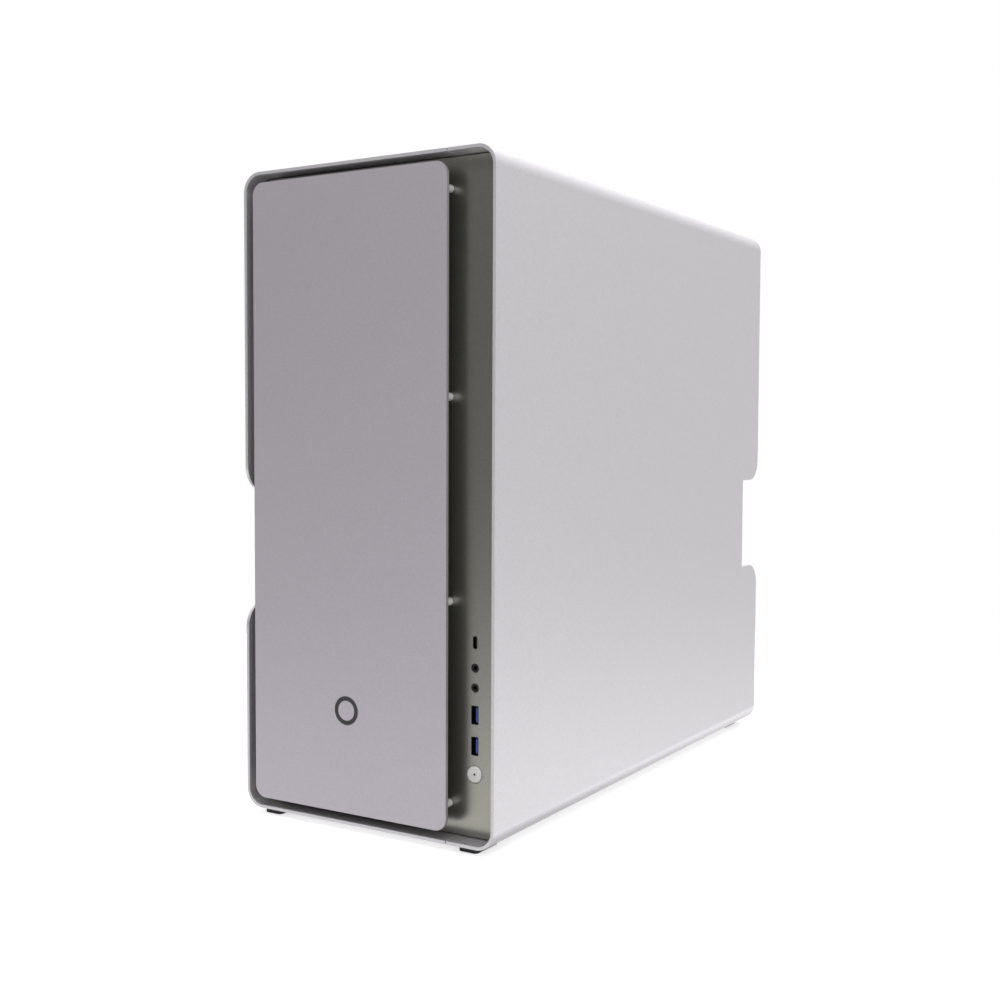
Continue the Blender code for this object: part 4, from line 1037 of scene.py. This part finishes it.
def make_fans():
    """Five case and cooler fans with frames, two rotors on the card, and one in the power supply."""
    frame_plastic = moulded("black_pbt_frame", "121214", "19191B", (0.45, 0.6))
    rotor_plastic = moulded("grey_pbt_rotor", "2A2B2E", "323337", (0.32, 0.45), 0.7)
    cap = foil_label()
    rubber = moulded("soft_grey_rubber", "3A3A3C", "444446", (0.75, 0.85), 0.6)
    for name in FAN_NAMES:
        fan_frame(f"{name}_frame", frame_plastic, rubber, cap)
        rotor(f"{name}_rotor", "-Y", rotor_plastic, cap, 20 * MM, 7)
    for node in CARD_FANS:
        rotor(node, "-Z", rotor_plastic, cap, 14 * MM, 9)
    rotor("psu_fan_rotor", "+Z", rotor_plastic, cap, 20 * MM, 7)
    places = []
    for name in FAN_NAMES[:3]:
        low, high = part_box(f"{name}_frame")
        places += fan_corners((low + high) / 2, high.y)
    screws("front_fan_screws", places, "+Y", 2.6 * MM, 1.6 * MM)


# ---------------------------------------------------------------- main board

def on_board(low_y, high_y, low_z, high_z, rise):
    """A box that stands on the main board's face: millimetres from its front lower corner, and its height."""
    corner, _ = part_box("motherboard")
    return block(
        (corner.x - rise * MM, corner.x),
        (corner.y + low_y * MM, corner.y + high_y * MM),
        (corner.z + low_z * MM, corner.z + high_z * MM),
    )


def make_board():
    """Main board with its chokes, heatsinks, connectors, capacitors, clock cell and small chips."""
    low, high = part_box("motherboard")
    board = flat("main_board", "X", low.x, high.x, [rounded(low.y, low.z, high.y, high.z, 2 * MM, 3)])
    show(board, solder_mask(), ["motherboard"])
    chokes = [on_board(121 + 10.5 * i, 130 + 10.5 * i, 279, 288, 6) for i in range(9)]
    chokes += [on_board(186, 195, 178 + 10.5 * i, 187 + 10.5 * i, 6) for i in range(9)]
    show(soft_edges(boxes("power_chokes", chokes), 0.8 * MM, 2), ferrite())
    make_board_heatsinks()
    make_board_connectors(low)
    from_corner = [(104, 276 - 8 * i) for i in range(7)] + [(184 - 10 * i, 74) for i in range(6)]
    from_corner += [(206, 28 + 10 * i) for i in range(6)] + [(18, 110 + 10 * i) for i in range(4)]
    cans = [(low.x, low.y + y * MM, low.z + z * MM) for y, z in from_corner]
    can = mm((0, 7.4), (2.6, 7.4), (3, 7), (3, 1.3), (2.7, 1), (3.2, 0.7), (3.2, 0))
    show(round_face(turned("capacitors", can, cans, "-X", 20)), drawn_aluminium())
    cell = mm((0, 4), (8.6, 4), (10, 3.4), (10, 0))
    coin = turned("clock_cell", cell, [(low.x, low.y + 148 * MM, low.z + 44 * MM)], "-X", 40)
    show(round_face(coin), drawn_aluminium())
    chips = [on_board(30 + 26 * i, 38 + 26 * i, 12, 19, 1.2) for i in range(6)]
    chips += [on_board(14, 22, 160 + 22 * i, 168 + 22 * i, 1.2) for i in range(5)]
    chips += [on_board(100 + 14 * i, 104 + 14 * i, 116, 121, 1) for i in range(6)]
    show(boxes("board_chips", chips), epoxy_chip())


def make_board_heatsinks():
    """Two finned blocks over the power stage, and flat ones over the bridge chip and the card drive."""
    fins = [on_board(118, 216, 290 + 2.6 * i, 291.3 + 2.6 * i, 15) for i in range(5)]
    fins.append(on_board(118, 216, 289, 303, 5))
    fins += [on_board(198 + 2.6 * i, 199.3 + 2.6 * i, 172, 276, 19) for i in range(5)]
    fins.append(on_board(197, 211, 172, 276, 5))
    fins.append(on_board(24, 78, 24, 66, 7))
    fins.append(on_board(92, 176, 86, 108, 5))
    show(soft_edges(boxes("board_heatsinks", fins), 0.3 * MM, 1), heatsink_anodising())


def make_board_connectors(board_low):
    """Sockets for the memory, cards, drives and processor power, and headers along the lower edge."""
    sockets = [on_board(42.5 + 9 * i, 49.3 + 9 * i, 143, 286, 3.2) for i in range(4)]
    for row in (0, 2, 4, 6):
        length = 89 if row < 6 else 25
        contacts_z = (slot_z(row) - board_low.z) / MM + 0.8
        for side in (-1, 1):
            near, far = sorted((contacts_z + side * 1.1, contacts_z + side * 3.8))
            sockets.append(on_board(108, 108 + length, near, far, 11))
    sockets += [on_board(1, 12, 40 + 18 * i, 54 + 18 * i, 9) for i in range(3)]
    sockets.append(on_board(196, 206, 293, 302, 2))
    sockets += [on_board(60 + 24 * i, 78 + 24 * i, 3, 8, 8) for i in range(5)]
    black = moulded("black_connector_plastic", "0F0F10", "171718", (0.4, 0.55))
    show(soft_edges(boxes("board_connectors", sockets), 0.3 * MM, 1), black)


def make_memory():
    """Memory modules: a board between two heat spreaders, with teeth along their outer edge."""
    board_t = 1.3 * MM
    lip = 4 * MM
    end = 6 * MM
    teeth = 14
    for i in (1, 2):
        low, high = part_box(f"memory_module_{i}")
        board_y = about((low.y + high.y) / 2, board_t)
        board = boxes(f"memory_board_{i}", [block((low.x + 3 * MM, high.x), board_y, (low.z, high.z))])
        show(board, solder_mask(), [f"memory_module_{i}"])
        sides = [
            block((low.x + lip, high.x - 5 * MM), span_y, (low.z + 1 * MM, high.z - 1 * MM))
            for span_y in ((low.y, board_y[0]), (board_y[1], high.y))
        ]
        for tooth in range(teeth):
            z = low.z + end + tooth * (high.z - low.z - 2 * end) / (teeth - 1)
            tooth_y = (low.y + 0.6 * MM, high.y - 0.6 * MM)
            sides.append(block((low.x, low.x + lip), tooth_y, about(z, 5.2 * MM)))
        spreader = soft_edges(boxes(f"memory_spreader_{i}", sides), 0.35 * MM, 2)
        show(spreader, anodised_black())


# ---------------------------------------------------------------- processor cooler

def cut_corners(low, high, cut, inset=0.0):
    """The (y, z) outline of a box with its corners cut off."""
    low_y, low_z, high_y, high_z = low.y + inset, low.z + inset, high.y - inset, high.z - inset
    near_y, near_z, far_y, far_z = low.y + cut, low.z + cut, high.y - cut, high.z - cut
    return [
        (low_y, near_z), (near_y, low_z), (far_y, low_z), (high_y, near_z),
        (high_y, far_z), (far_y, high_z), (near_y, high_z), (low_y, far_z),
    ]


def make_cooler():
    """Tower cooler: thin fins on four U-shaped heat pipes that run down to a block on the processor."""
    low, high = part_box("cpu_cooler")
    middle = (low + high) / 2
    fins_end = low.x + 118 * MM
    first_fin = low.x + 4 * MM
    pitch = 2.9 * MM
    cut = 6 * MM
    fin = flat("cooler_fins", "X", 0, 0.45 * MM, [cut_corners(low, high, cut, 1.2 * MM)])
    count = int((fins_end - first_fin) / pitch)
    fins = at_each(fin, [(first_fin + pitch * i, 0, 0) for i in range(count)])
    show(fins, brushed_fins(), ["cpu_cooler"])
    cap = flat("cooler_top_plate", "X", low.x, low.x + 2.4 * MM, [cut_corners(low, high, cut)])
    show(soft_edges(cap, 0.5 * MM, 2, 30), heatsink_anodising())
    block_x = high.x - 9 * MM
    steps = 8
    pipes = []
    for i in range(4):
        y = middle.y + (i - 1.5) * 9 * MM
        spread = (34 - 5 * (i % 2)) * MM
        for side in (-1, 1):
            route = [(low.x + 1 * MM, y, middle.z + side * spread)]
            for step in range(steps + 1):
                bend = 0.5 - 0.5 * math.cos(math.pi * step / steps)
                off_z = spread - (spread - 8 * MM) * bend
                route.append((fins_end + (block_x - fins_end) * step / steps, y, middle.z + side * off_z))
            pipes.append(tube("pipe", 3 * MM, route))
    show(joined("heat_pipes", pipes), nickel_plate())
    base_size = 40 * MM
    base = block((block_x - 5 * MM, high.x), about(middle.y, base_size), about(middle.z, base_size))
    show(soft_edges(boxes("cooler_base", [base]), 0.8 * MM, 2), nickel_plate())
    make_cooler_brace(middle)
    arm = block((high.x - 12 * MM, high.x - 9.5 * MM), about(middle.y, 10 * MM), about(middle.z, 76 * MM))
    show(soft_edges(boxes("cooler_clamp", [arm]), 0.6 * MM, 2), zinc_plate())


def make_cooler_brace(middle):
    """Steel brace behind the main board that the cooler is screwed to."""
    board_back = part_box("motherboard")[1].x
    low_x, high_x = board_back + 0.3 * MM, board_back + 1.8 * MM
    size, opening = 74 * MM, 46 * MM
    brace = flat("cooler_back_brace", "X", low_x, high_x, [
        oblong(middle.y, middle.z, size, size, 6 * MM), oblong(middle.y, middle.z, opening, opening, 8 * MM),
    ])
    show(soft_edges(brace, 0.4 * MM, 2, 50), zinc_plate())
    nuts = [(high_x, y, z) for y in about(middle.y, size - 12 * MM) for z in about(middle.z, size - 12 * MM)]
    screws("cooler_screws", nuts, "+X", 3 * MM, 1.4 * MM)


# ---------------------------------------------------------------- graphics card

def make_graphics_card():
    """Card board with gilt edge contacts and a backplate, then its bracket and shroud."""
    low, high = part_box("graphics_board")
    shroud_low, shroud_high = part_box("graphics_shroud")
    board_z = shroud_high.z + 0.3 * MM
    board_top = board_z + 1.6 * MM
    outer_x, inner_x, edge_x = shroud_low.x + 5 * MM, high.x - 12 * MM, high.x
    front_y, rear_y = low.y + 1 * MM, high.y - 1 * MM
    edge_start, edge_end = (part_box("motherboard")[0].y + along for along in (108 * MM, 194 * MM))
    board = flat("graphics_card_board", "Z", board_z, board_top, [[
        (outer_x, front_y), (inner_x, front_y), (inner_x, edge_start), (edge_x, edge_start),
        (edge_x, edge_end), (inner_x, edge_end), (inner_x, rear_y), (outer_x, rear_y),
    ]])
    show(board, solder_mask(), ["graphics_board"])
    gold_t = 0.04 * MM
    fingers = [
        block((edge_x - 5 * MM, edge_x - 0.4 * MM), about(edge_start + (3 + i) * MM, 0.7 * MM), span_z)
        for i in range(80) for span_z in ((board_z - gold_t, board_z), (board_top, board_top + gold_t))
    ]
    show(boxes("card_edge_contacts", fingers), gold_plate())
    plate_top = board_top + 1.6 * MM
    plate = flat("card_backplate", "Z", board_top + 0.4 * MM, plate_top, [
        rounded(shroud_low.x + 1 * MM, front_y, shroud_high.x, high.y - 16 * MM, 3 * MM, 5),
        *[oblong(0, low.y + (34 + 9 * i) * MM, 56 * MM, 3.4 * MM, 1.69 * MM, 5) for i in range(6)],
    ])
    show(soft_edges(plate, 0.3 * MM, 2, 40), anodised_black())
    places = [(x * MM, low.y + y * MM, plate_top) for x in (-40, 40) for y in (14, 120, 236)]
    screws("backplate_screws", places, "+Z", 2 * MM, 1 * MM)
    make_card_bracket(low, high, board_z)
    make_card_shroud(shroud_low, shroud_high)


def make_card_bracket(low, high, board_z):
    """Slot bracket with four video sockets and an air grille, and the sockets behind it."""
    outlines = [rounded(low.x, low.z, high.x, high.z, 1 * MM, 3)]
    sockets, tongues = [], []
    z = board_z - 3.1 * MM
    back_y = high.y - 12 * MM
    wide, narrow = (16.5 * MM, 4.8 * MM), (14.6 * MM, 4.5 * MM)
    for i, (width, height) in enumerate((wide, wide, narrow, wide)):
        x = low.x + (18 + 23 * i) * MM
        outlines.append(oblong(x, z, width, height, 1 * MM, 3))
        socket = [
            oblong(x, z, width - 0.2 * MM, height - 0.2 * MM, 0.9 * MM, 3),
            oblong(x, z, width - 1 * MM, height - 1 * MM, 0.7 * MM, 3),
        ]
        sockets.append(flat("socket", "Y", back_y, high.y - 0.9 * MM, socket))
        tongues.append(block(about(x, width - 4 * MM), (back_y, high.y - 2 * MM), about(z, 1.2 * MM)))
        tongues.append(block(about(x, width), (back_y - 1 * MM, back_y), about(z, height)))
    left_x, lower_z = low.x + 8 * MM, low.z + 4 * MM
    outlines += honeycomb(left_x, lower_z, left_x + 96 * MM, lower_z + 12 * MM, 5.2 * MM, 1.2 * MM)
    sheet = soft_edges(flat("card_bracket", "Y", high.y - 1 * MM, high.y, outlines), 0.15 * MM, 1, 50)
    show(sheet, nickel_plate())
    show(joined("video_sockets", sockets), nickel_plate())
    show(boxes("video_tongues", tongues), jack_plastic())


def make_card_shroud(low, high):
    """Shroud with a round well for each fan, and the fins and heat pipes above them."""
    well_z = low.z + 16 * MM
    well_r = 44 * MM
    face_top = low.z + 2.4 * MM
    cut = 12 * MM
    wall = 2 * MM
    middle_y = (low.y + high.y) / 2
    small = cut / 2
    outline = [
        (low.x + cut, low.y), (high.x - small, low.y), (high.x, low.y + small), (high.x, high.y - small),
        (high.x - small, high.y), (low.x + cut, high.y), (low.x, high.y - cut), (low.x, low.y + cut),
    ]
    inner = [(x + (wall if x < 0 else -wall), y + (wall if y < middle_y else -wall)) for x, y in outline]
    wells, ducts = [], []
    for node in CARD_FANS:
        fan_low, fan_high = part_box(node)
        x, y = (fan_low.x + fan_high.x) / 2, (fan_low.y + fan_high.y) / 2
        wells.append(ring(x, y, well_r, 56))
        ducts.append(flat("duct", "Z", face_top, well_z, [ring(x, y, well_r + 1.2 * MM, 56), wells[-1]]))
    face = flat("face", "Z", low.z, face_top, [outline, *wells])
    walls = flat("walls", "Z", face_top, high.z - 6 * MM, [outline, inner])
    piece = soft_edges(joined("card_shroud", [face, *ducts, walls]), 0.6 * MM, 2, 40)
    plastic = moulded("black_abs_shroud", "151517", "1D1D20", (0.35, 0.5))
    show(piece, plastic, ["graphics_shroud"])
    inset = 4 * MM
    pitch = 2.4 * MM
    fin_x, fin_z = (low.x + inset, high.x - inset), (well_z + 0.5 * MM, high.z - 0.3 * MM)
    count = int((high.y - low.y - 2 * inset) / pitch)
    starts = [low.y + inset + pitch * i for i in range(count)]
    fins = [block(fin_x, (y, y + 0.4 * MM), fin_z) for y in starts]
    show(boxes("card_fins", fins), brushed_fins())
    ends = (low.y + 6 * MM, high.y - 6 * MM)
    pipes = [tube("pipe", 2.9 * MM, [(x * MM, y, high.z - 4 * MM) for y in ends]) for x in (-26, -2, 22)]
    show(joined("card_heat_pipes", pipes), nickel_plate())


# ---------------------------------------------------------------- power supply

def make_power_supply():
    """Steel case with a guarded fan opening on top, air holes at the back, and its mains inlet and switch."""
    low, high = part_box("psu_case")
    middle = (low + high) / 2
    sheet = 1.2 * MM
    outer = rounded(low.x, low.z, high.x, high.z, 2 * MM, 4)
    inner = rounded(low.x + sheet, low.z + sheet, high.x - sheet, high.z - sheet, 1 * MM, 4)
    sleeve = flat("sleeve", "Y", low.y, high.y, [outer, inner])
    opening = flat("opening", "Z", *about(high.z, 10 * MM), [ring(middle.x, middle.y, FAN_BORE_R, 64)])
    sleeve = cut_out(sleeve, opening)
    inlet_low, inlet_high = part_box("psu_inlet")
    rocker_low, rocker_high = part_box("psu_rocker")
    inlet_x, port_z = (inlet_low.x + inlet_high.x) / 2, (inlet_low.z + inlet_high.z) / 2
    rocker_x = (rocker_low.x + rocker_high.x) / 2
    vent_x, vent_z = low.x + 8 * MM, high.z - 34 * MM
    back_holes = [
        outer,
        oblong(inlet_x, port_z, 27.6 * MM, 20 * MM, 1 * MM, 3),
        oblong(rocker_x, port_z, 14 * MM, 20.6 * MM, 0.6 * MM, 3),
        *honeycomb(vent_x, vent_z, high.x - 8 * MM, high.z - 7 * MM, 7 * MM, 1.3 * MM),
        *honeycomb(vent_x, low.z + 8 * MM, rocker_x - 14 * MM, vent_z - 4 * MM, 7 * MM, 1.3 * MM),
    ]
    back = flat("back", "Y", high.y - sheet, high.y, back_holes)
    lead_x, lead_z = 30 * MM, 65 * MM
    front = flat("front", "Y", low.y, low.y + sheet, [outer, ring(lead_x, lead_z, 7 * MM, 24)])
    case = soft_edges(joined("power_supply_case", [sleeve, back, front]), 0.3 * MM, 1, 50)
    show(case, powder_coat(), ["psu_case"])
    grommet = mm((4.7, 0), (8.6, 0), (8.8, 1.2), (6.6, 2.4), (4.7, 2.4))
    collar = round_face(turned("lead_grommet", grommet, [(lead_x, low.y, lead_z)], "-Y", 32))
    show(collar, jack_plastic())
    make_fan_guard(middle, high.z)
    make_inlet(inlet_low, inlet_high)
    make_rocker()


def make_fan_guard(middle, top_z):
    """Wire guard over the power supply's fan: rings on two crossed wires, and its screws."""
    wires = []
    for i in range(6):
        circle = arc(middle.x, middle.y, (9 + 9.8 * i) * MM, 0, 360, 48)
        wires.append(tube("wire", 0.9 * MM, [(x, y, top_z + 0.9 * MM) for x, y in circle]))
    reach = 66 * MM
    for a in (math.radians(45), math.radians(135)):
        wires.append(tube("wire", 1 * MM, [
            (middle.x + part * reach * math.cos(a), middle.y + part * reach * math.sin(a), top_z + 0.3 * MM)
            for part in (-1, -0.5, 0, 0.5, 1)
        ]))
    show(joined("fan_guard", wires), nickel_plate())
    corners = [(x, y, top_z) for x in about(middle.x, FAN_SCREWS) for y in about(middle.y, FAN_SCREWS)]
    screws("fan_guard_screws", corners, "+Z", 2.8 * MM, 1.6 * MM)


def make_inlet(low, high):
    """Mains inlet: a flanged cup with three flat pins."""
    x, z = (low.x + high.x) / 2, (low.z + high.z) / 2
    floor_y, flange_y = low.y + 4 * MM, high.y - 1.2 * MM
    inside = oblong(x, z, 24.4 * MM, 16.6 * MM, 2.6 * MM, 5)
    outside = oblong(x, z, 27 * MM, 19.4 * MM, 1 * MM, 3)
    flange = flat("flange", "Y", flange_y, high.y, [rounded(low.x, low.z, high.x, high.z, 2 * MM, 4), inside])
    cup = flat("cup", "Y", floor_y, flange_y, [outside, inside])
    floor = flat("floor", "Y", low.y, floor_y, [outside])
    piece = soft_edges(joined("mains_inlet", [flange, cup, floor]), 0.3 * MM, 1, 50)
    show(piece, moulded("black_inlet_plastic", "0E0E10", "151517"), ["psu_inlet"])
    pins = [
        block(about(x + side * MM, 2 * MM), (floor_y, high.y - 4 * MM), about(z + rise * MM, 4 * MM))
        for side, rise in ((-7, -2), (0, 2), (7, -2))
    ]
    show(soft_edges(boxes("inlet_pins", pins), 0.5 * MM, 2), nickel_plate())


def make_rocker():
    """Mains rocker: two faces that meet in a shallow valley, with a bar and a ring moulded in."""
    pivot = Vector(joint_of("mains_rocker")["pos_m"])
    half, crest, valley, back = 9 * MM, 3.4 * MM, 1.7 * MM, 4.4 * MM
    steps = 8
    face = [
        (valley + (crest - valley) * (abs(t) / steps) ** 1.3, half * t / steps)
        for t in range(-steps, steps + 1)
    ]
    cap = flat("mains_rocker_cap", "X", *about(0, 12.2 * MM), [[(-back, -half), *face, (-back, half)]])
    mark_y = (2.4 * MM, 3.0 * MM)
    bar = boxes("bar", [block(about(0, 0.8 * MM), mark_y, (-6.8 * MM, -3.6 * MM))])
    circle = flat("circle", "Y", *mark_y, [ring(0, 5.2 * MM, 1.7 * MM, 24), ring(0, 5.2 * MM, 1.1 * MM, 24)])
    signs = joined("rocker_marks", [bar, circle])
    turn = Matrix.Translation(pivot) @ Matrix.Rotation(-math.radians(ROCKER_REST), 4, "X")
    for obj in (cap, signs):
        obj.data.transform(turn)
    plastic = moulded("rocker_plastic", "0D0D0E", "131314", (0.25, 0.35), 0.5)
    show(soft_edges(cap, 0.4 * MM, 2, 50), plastic, ["psu_rocker"], "mains_rocker")
    ink = moulded("white_ink", "D8D8D8", "E2E2E2", (0.5, 0.6), 0.6)
    show(signs, ink, body="mains_rocker")


# ---------------------------------------------------------------- drives, front board, leads

def make_drives():
    """Hard drive with its lid, spindle cap and board, and the flat solid-state drive behind the tray."""
    low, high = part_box("hard_drive")
    lid_z, top_z = high.z - 1.2 * MM, high.z - 0.2 * MM
    body = flat("drive_body", "Z", low.z + 2 * MM, lid_z, [rounded(low.x, low.y, high.x, high.y, 3 * MM, 4)])
    show(soft_edges(body, 0.8 * MM, 2), cast_aluminium(), ["hard_drive"])
    lid_edge = rounded(low.x + 2 * MM, low.y + 2 * MM, high.x - 2 * MM, high.y - 12 * MM, 6 * MM, 6)
    lid = flat("drive_lid", "Z", lid_z, top_z, [lid_edge])
    show(soft_edges(lid, 0.4 * MM, 2), heatsink_anodising())
    hub = mm((0, 0.15), (13, 0.15), (13.6, 0), (0, 0))
    spindle = turned("drive_spindle_cap", hub, [((low.x + high.x) / 2, low.y + 60 * MM, top_z)], "+Z", 48)
    show(spindle, cast_aluminium())
    inset = 6 * MM
    along = (low.y + inset, low.y + 70 * MM, high.y - 17 * MM)
    places = [(x, y, high.z - 0.6 * MM) for x in (low.x + inset, high.x - inset) for y in along]
    screws("drive_lid_screws", places, "+Z", 1.9 * MM, 0.6 * MM)
    board_y = (low.y + 3 * MM, high.y - 2 * MM)
    board = block((low.x + 3 * MM, high.x - 3 * MM), board_y, (low.z, low.z + 1.6 * MM))
    show(boxes("drive_board", [board]), solder_mask())
    low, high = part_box("solid_state_drive")
    slab = soft_edges(boxes("solid_state_drive_case", [(low, high)]), 0.9 * MM, 3)
    show(slab, heatsink_anodising(), ["solid_state_drive"])
    inset = 4 * MM
    ends_y, ends_z = (low.y + inset, high.y - inset), (low.z + inset, high.z - inset)
    corners = [(high.x, y, z) for y in ends_y for z in ends_z]
    screws("solid_state_drive_screws", corners, "+X", 1.6 * MM, 0.7 * MM)


def make_front_board():
    """Board behind the front ports, with its chips, and the switch behind the power button."""
    low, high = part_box("front_io_board")
    board = flat("front_port_board", "X", low.x, high.x, [rounded(low.y, low.z, high.y, high.z, 1.5 * MM, 3)])
    show(board, solder_mask(), ["front_io_board"])
    chips = [
        block((low.x - 1.1 * MM, low.x), (high.y - 10 * MM, high.y - 4 * MM), (z, z + 5 * MM))
        for z in (low.z + rise * MM for rise in (12, 30, 62, 78))
    ]
    show(boxes("front_board_chips", chips), epoxy_chip())
    low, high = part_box("power_switch")
    can_y = low.y + 1.4 * MM
    can = boxes("switch_can", [block((low.x, high.x), (can_y, high.y), (low.z, high.z))])
    show(soft_edges(can, 0.4 * MM, 2), black_nickel(), ["power_switch"])
    plunger = mm((0, 1.4), (1.4, 1.4), (1.7, 1.1), (1.7, 0))
    tip = turned("switch_plunger", plunger, [((low.x + high.x) / 2, can_y, (low.z + high.z) / 2)], "-Y", 24)
    show(round_face(tip), jack_plastic())


def make_leads():
    """Main power plug with its cells and latch, and the sleeves on the two cables."""
    low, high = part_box("main_power_plug")
    wall = 0.9 * MM
    rows, columns = 12, 2
    cell_z, cell_y = (high.z - low.z) / rows, (high.y - low.y) / columns
    outlines = [rounded(low.y, low.z, high.y, high.z, 0.6 * MM, 2)]
    for row in range(rows):
        for column in range(columns):
            y, z = low.y + (column + 0.5) * cell_y, low.z + (row + 0.5) * cell_z
            outlines.append(oblong(y, z, cell_y - wall, cell_z - wall, 0.5 * MM, 2))
    comb_end = low.x + 3 * MM
    comb = flat("comb", "X", low.x, comb_end, outlines)
    body = boxes("body", [block((comb_end, high.x), (low.y, high.y), (low.z, high.z))])
    latch_z = about((low.z + high.z) / 2, 8 * MM)
    latch = boxes("latch", [block((low.x + 5 * MM, high.x - 4 * MM), (low.y - 1.6 * MM, low.y), latch_z)])
    plug = soft_edges(joined("main_plug", [comb, body, latch]), 0.25 * MM, 1, 50)
    show(plug, jack_plastic(), ["main_power_plug"])
    finish_nodes(braided_sleeve(), "main_power_cable", "front_io_cable")


# ---------------------------------------------------------------- studio

def make_camera():
    data = bpy.data.cameras.new("camera")
    data.lens = CAMERA_LENS
    data.sensor_width = 36
    data.clip_end = 50
    camera = linked("camera", data)
    camera.location = CAMERA_AT
    turn = Matrix.Rotation(CAMERA_YAW, 4, "Z") @ Matrix.Rotation(math.pi / 2 + CAMERA_PITCH, 4, "X")
    camera.rotation_euler = (turn @ Matrix.Rotation(CAMERA_ROLL, 4, "Z")).to_euler()
    bpy.context.scene.camera = camera


def softbox(name, at, towards, size, power):
    """White rectangular lamp that the camera doesn't see."""
    data = bpy.data.lights.new(name, "AREA")
    data.shape = "RECTANGLE"
    data.size, data.size_y = size
    data.energy = power
    lamp = linked(name, data)
    lamp.location = at
    lamp.rotation_euler = (Vector(towards) - Vector(at)).to_track_quat("-Z", "Y").to_euler()
    lamp.visible_camera = False


def eased(tree, value, span, result):
    """A value that goes smoothly from the first to the second result as the input crosses this span."""
    limits = {"From Min": span[0], "From Max": span[1], "To Min": result[0], "To Max": result[1]}
    made = add(tree, "ShaderNodeMapRange", {"Value": value, **limits}, interpolation_type="SMOOTHSTEP")
    return made.outputs["Result"]


def make_world():
    """White to the eye; what the metal reflects is brighter to the right, behind, above and below."""
    world = bpy.data.worlds.new("studio")
    bpy.context.scene.world = world
    world.use_nodes = True
    tree = world.node_tree
    tree.nodes.clear()
    way = add(tree, "ShaderNodeTexCoord").outputs["Generated"]
    bright_way = add(tree, "ShaderNodeVectorMath", {0: way, 1: (0.80, 0.60, 0.0)}, operation="DOT_PRODUCT")
    glow = eased(tree, bright_way.outputs["Value"], (-0.6, 0.7), (0.50, 0.76))
    up = add(tree, "ShaderNodeSeparateXYZ", {0: way}).outputs["Z"]
    overhead = eased(tree, up, (0.15, 0.6), (0.0, 0.64))
    below = eased(tree, up, (-0.31, -0.15), (1.0, 0.0))
    # The dark end of the studio, behind the camera, is what the panel and the plate mirror.
    dark_way = add(tree, "ShaderNodeVectorMath", {0: way, 1: (-0.535, -0.845, 0.0)}, operation="DOT_PRODUCT")
    dark = eased(tree, dark_way.outputs["Value"], (0.80, 0.97), (1.0, 0.38))
    dimmed = add(tree, "ShaderNodeMath", {0: glow, 1: dark}, operation="MULTIPLY")
    # The floor is brightest where it is seen at a slant, past the shade of whatever stands on it.
    floor_glow = eased(tree, up, (-0.62, -0.30), (0.55, 2.3))
    sides = add(
        tree, "ShaderNodeMix", {0: below, 2: dimmed.outputs["Value"], 3: floor_glow}, data_type="FLOAT",
    )
    total = add(tree, "ShaderNodeMath", {0: sides.outputs[0], 1: overhead}, operation="ADD")
    lit = add(tree, "ShaderNodeBackground", {"Color": linear("FFFDFF"), "Strength": total.outputs["Value"]})
    seen = add(tree, "ShaderNodeBackground", {"Color": (1, 1, 1, 1), "Strength": 1.0})
    camera_ray = add(tree, "ShaderNodeLightPath").outputs["Is Camera Ray"]
    mix = add(
        tree, "ShaderNodeMixShader",
        {0: camera_ray, 1: lit.outputs["Background"], 2: seen.outputs["Background"]},
    )
    add(tree, "ShaderNodeOutputWorld", {"Surface": mix.outputs["Shader"]})


def make_floor():
    """Round pale floor under the computer; past its rim is the white of the studio."""
    floor_r = 0.85
    floor = mesh_of(
        "floor", lambda bm: bmesh.ops.create_circle(bm, cap_ends=True, segments=96, radius=floor_r),
    )
    # Painted studio floor: even, matt and white.
    made, tree, shader, place = surface("pale_floor", Roughness=0.8, Emission_Strength=0.6)
    shader.inputs["Emission Color"].default_value = (1, 1, 1, 1)
    mottled(tree, shader, place, "C4C4C4", "CACACA", 900.0)
    floor.data.materials.append(made)
    floor.visible_glossy = False


def make_studio():
    make_floor()
    make_world()
    middle = (0, 0, 0.25)
    softbox("overhead", (0.2, 0.1, 2.6), middle, (2.6, 2.6), 62)
    softbox("front_fill", (1.6, -2.6, 1.2), middle, (1.6, 1.2), 14)
    bpy.context.scene.view_settings.view_transform = "Standard"


make_camera()
make_covers()
make_front_plate()
make_studs()
make_front_panel()
make_front_ports()
make_power_button()
make_rear_panel()
make_slot_covers()
make_chassis_sheets()
make_rear_ports()
make_fans()
make_board()
make_memory()
make_cooler()
make_graphics_card()
make_power_supply()
make_drives()
make_front_board()
make_leads()
make_studio()
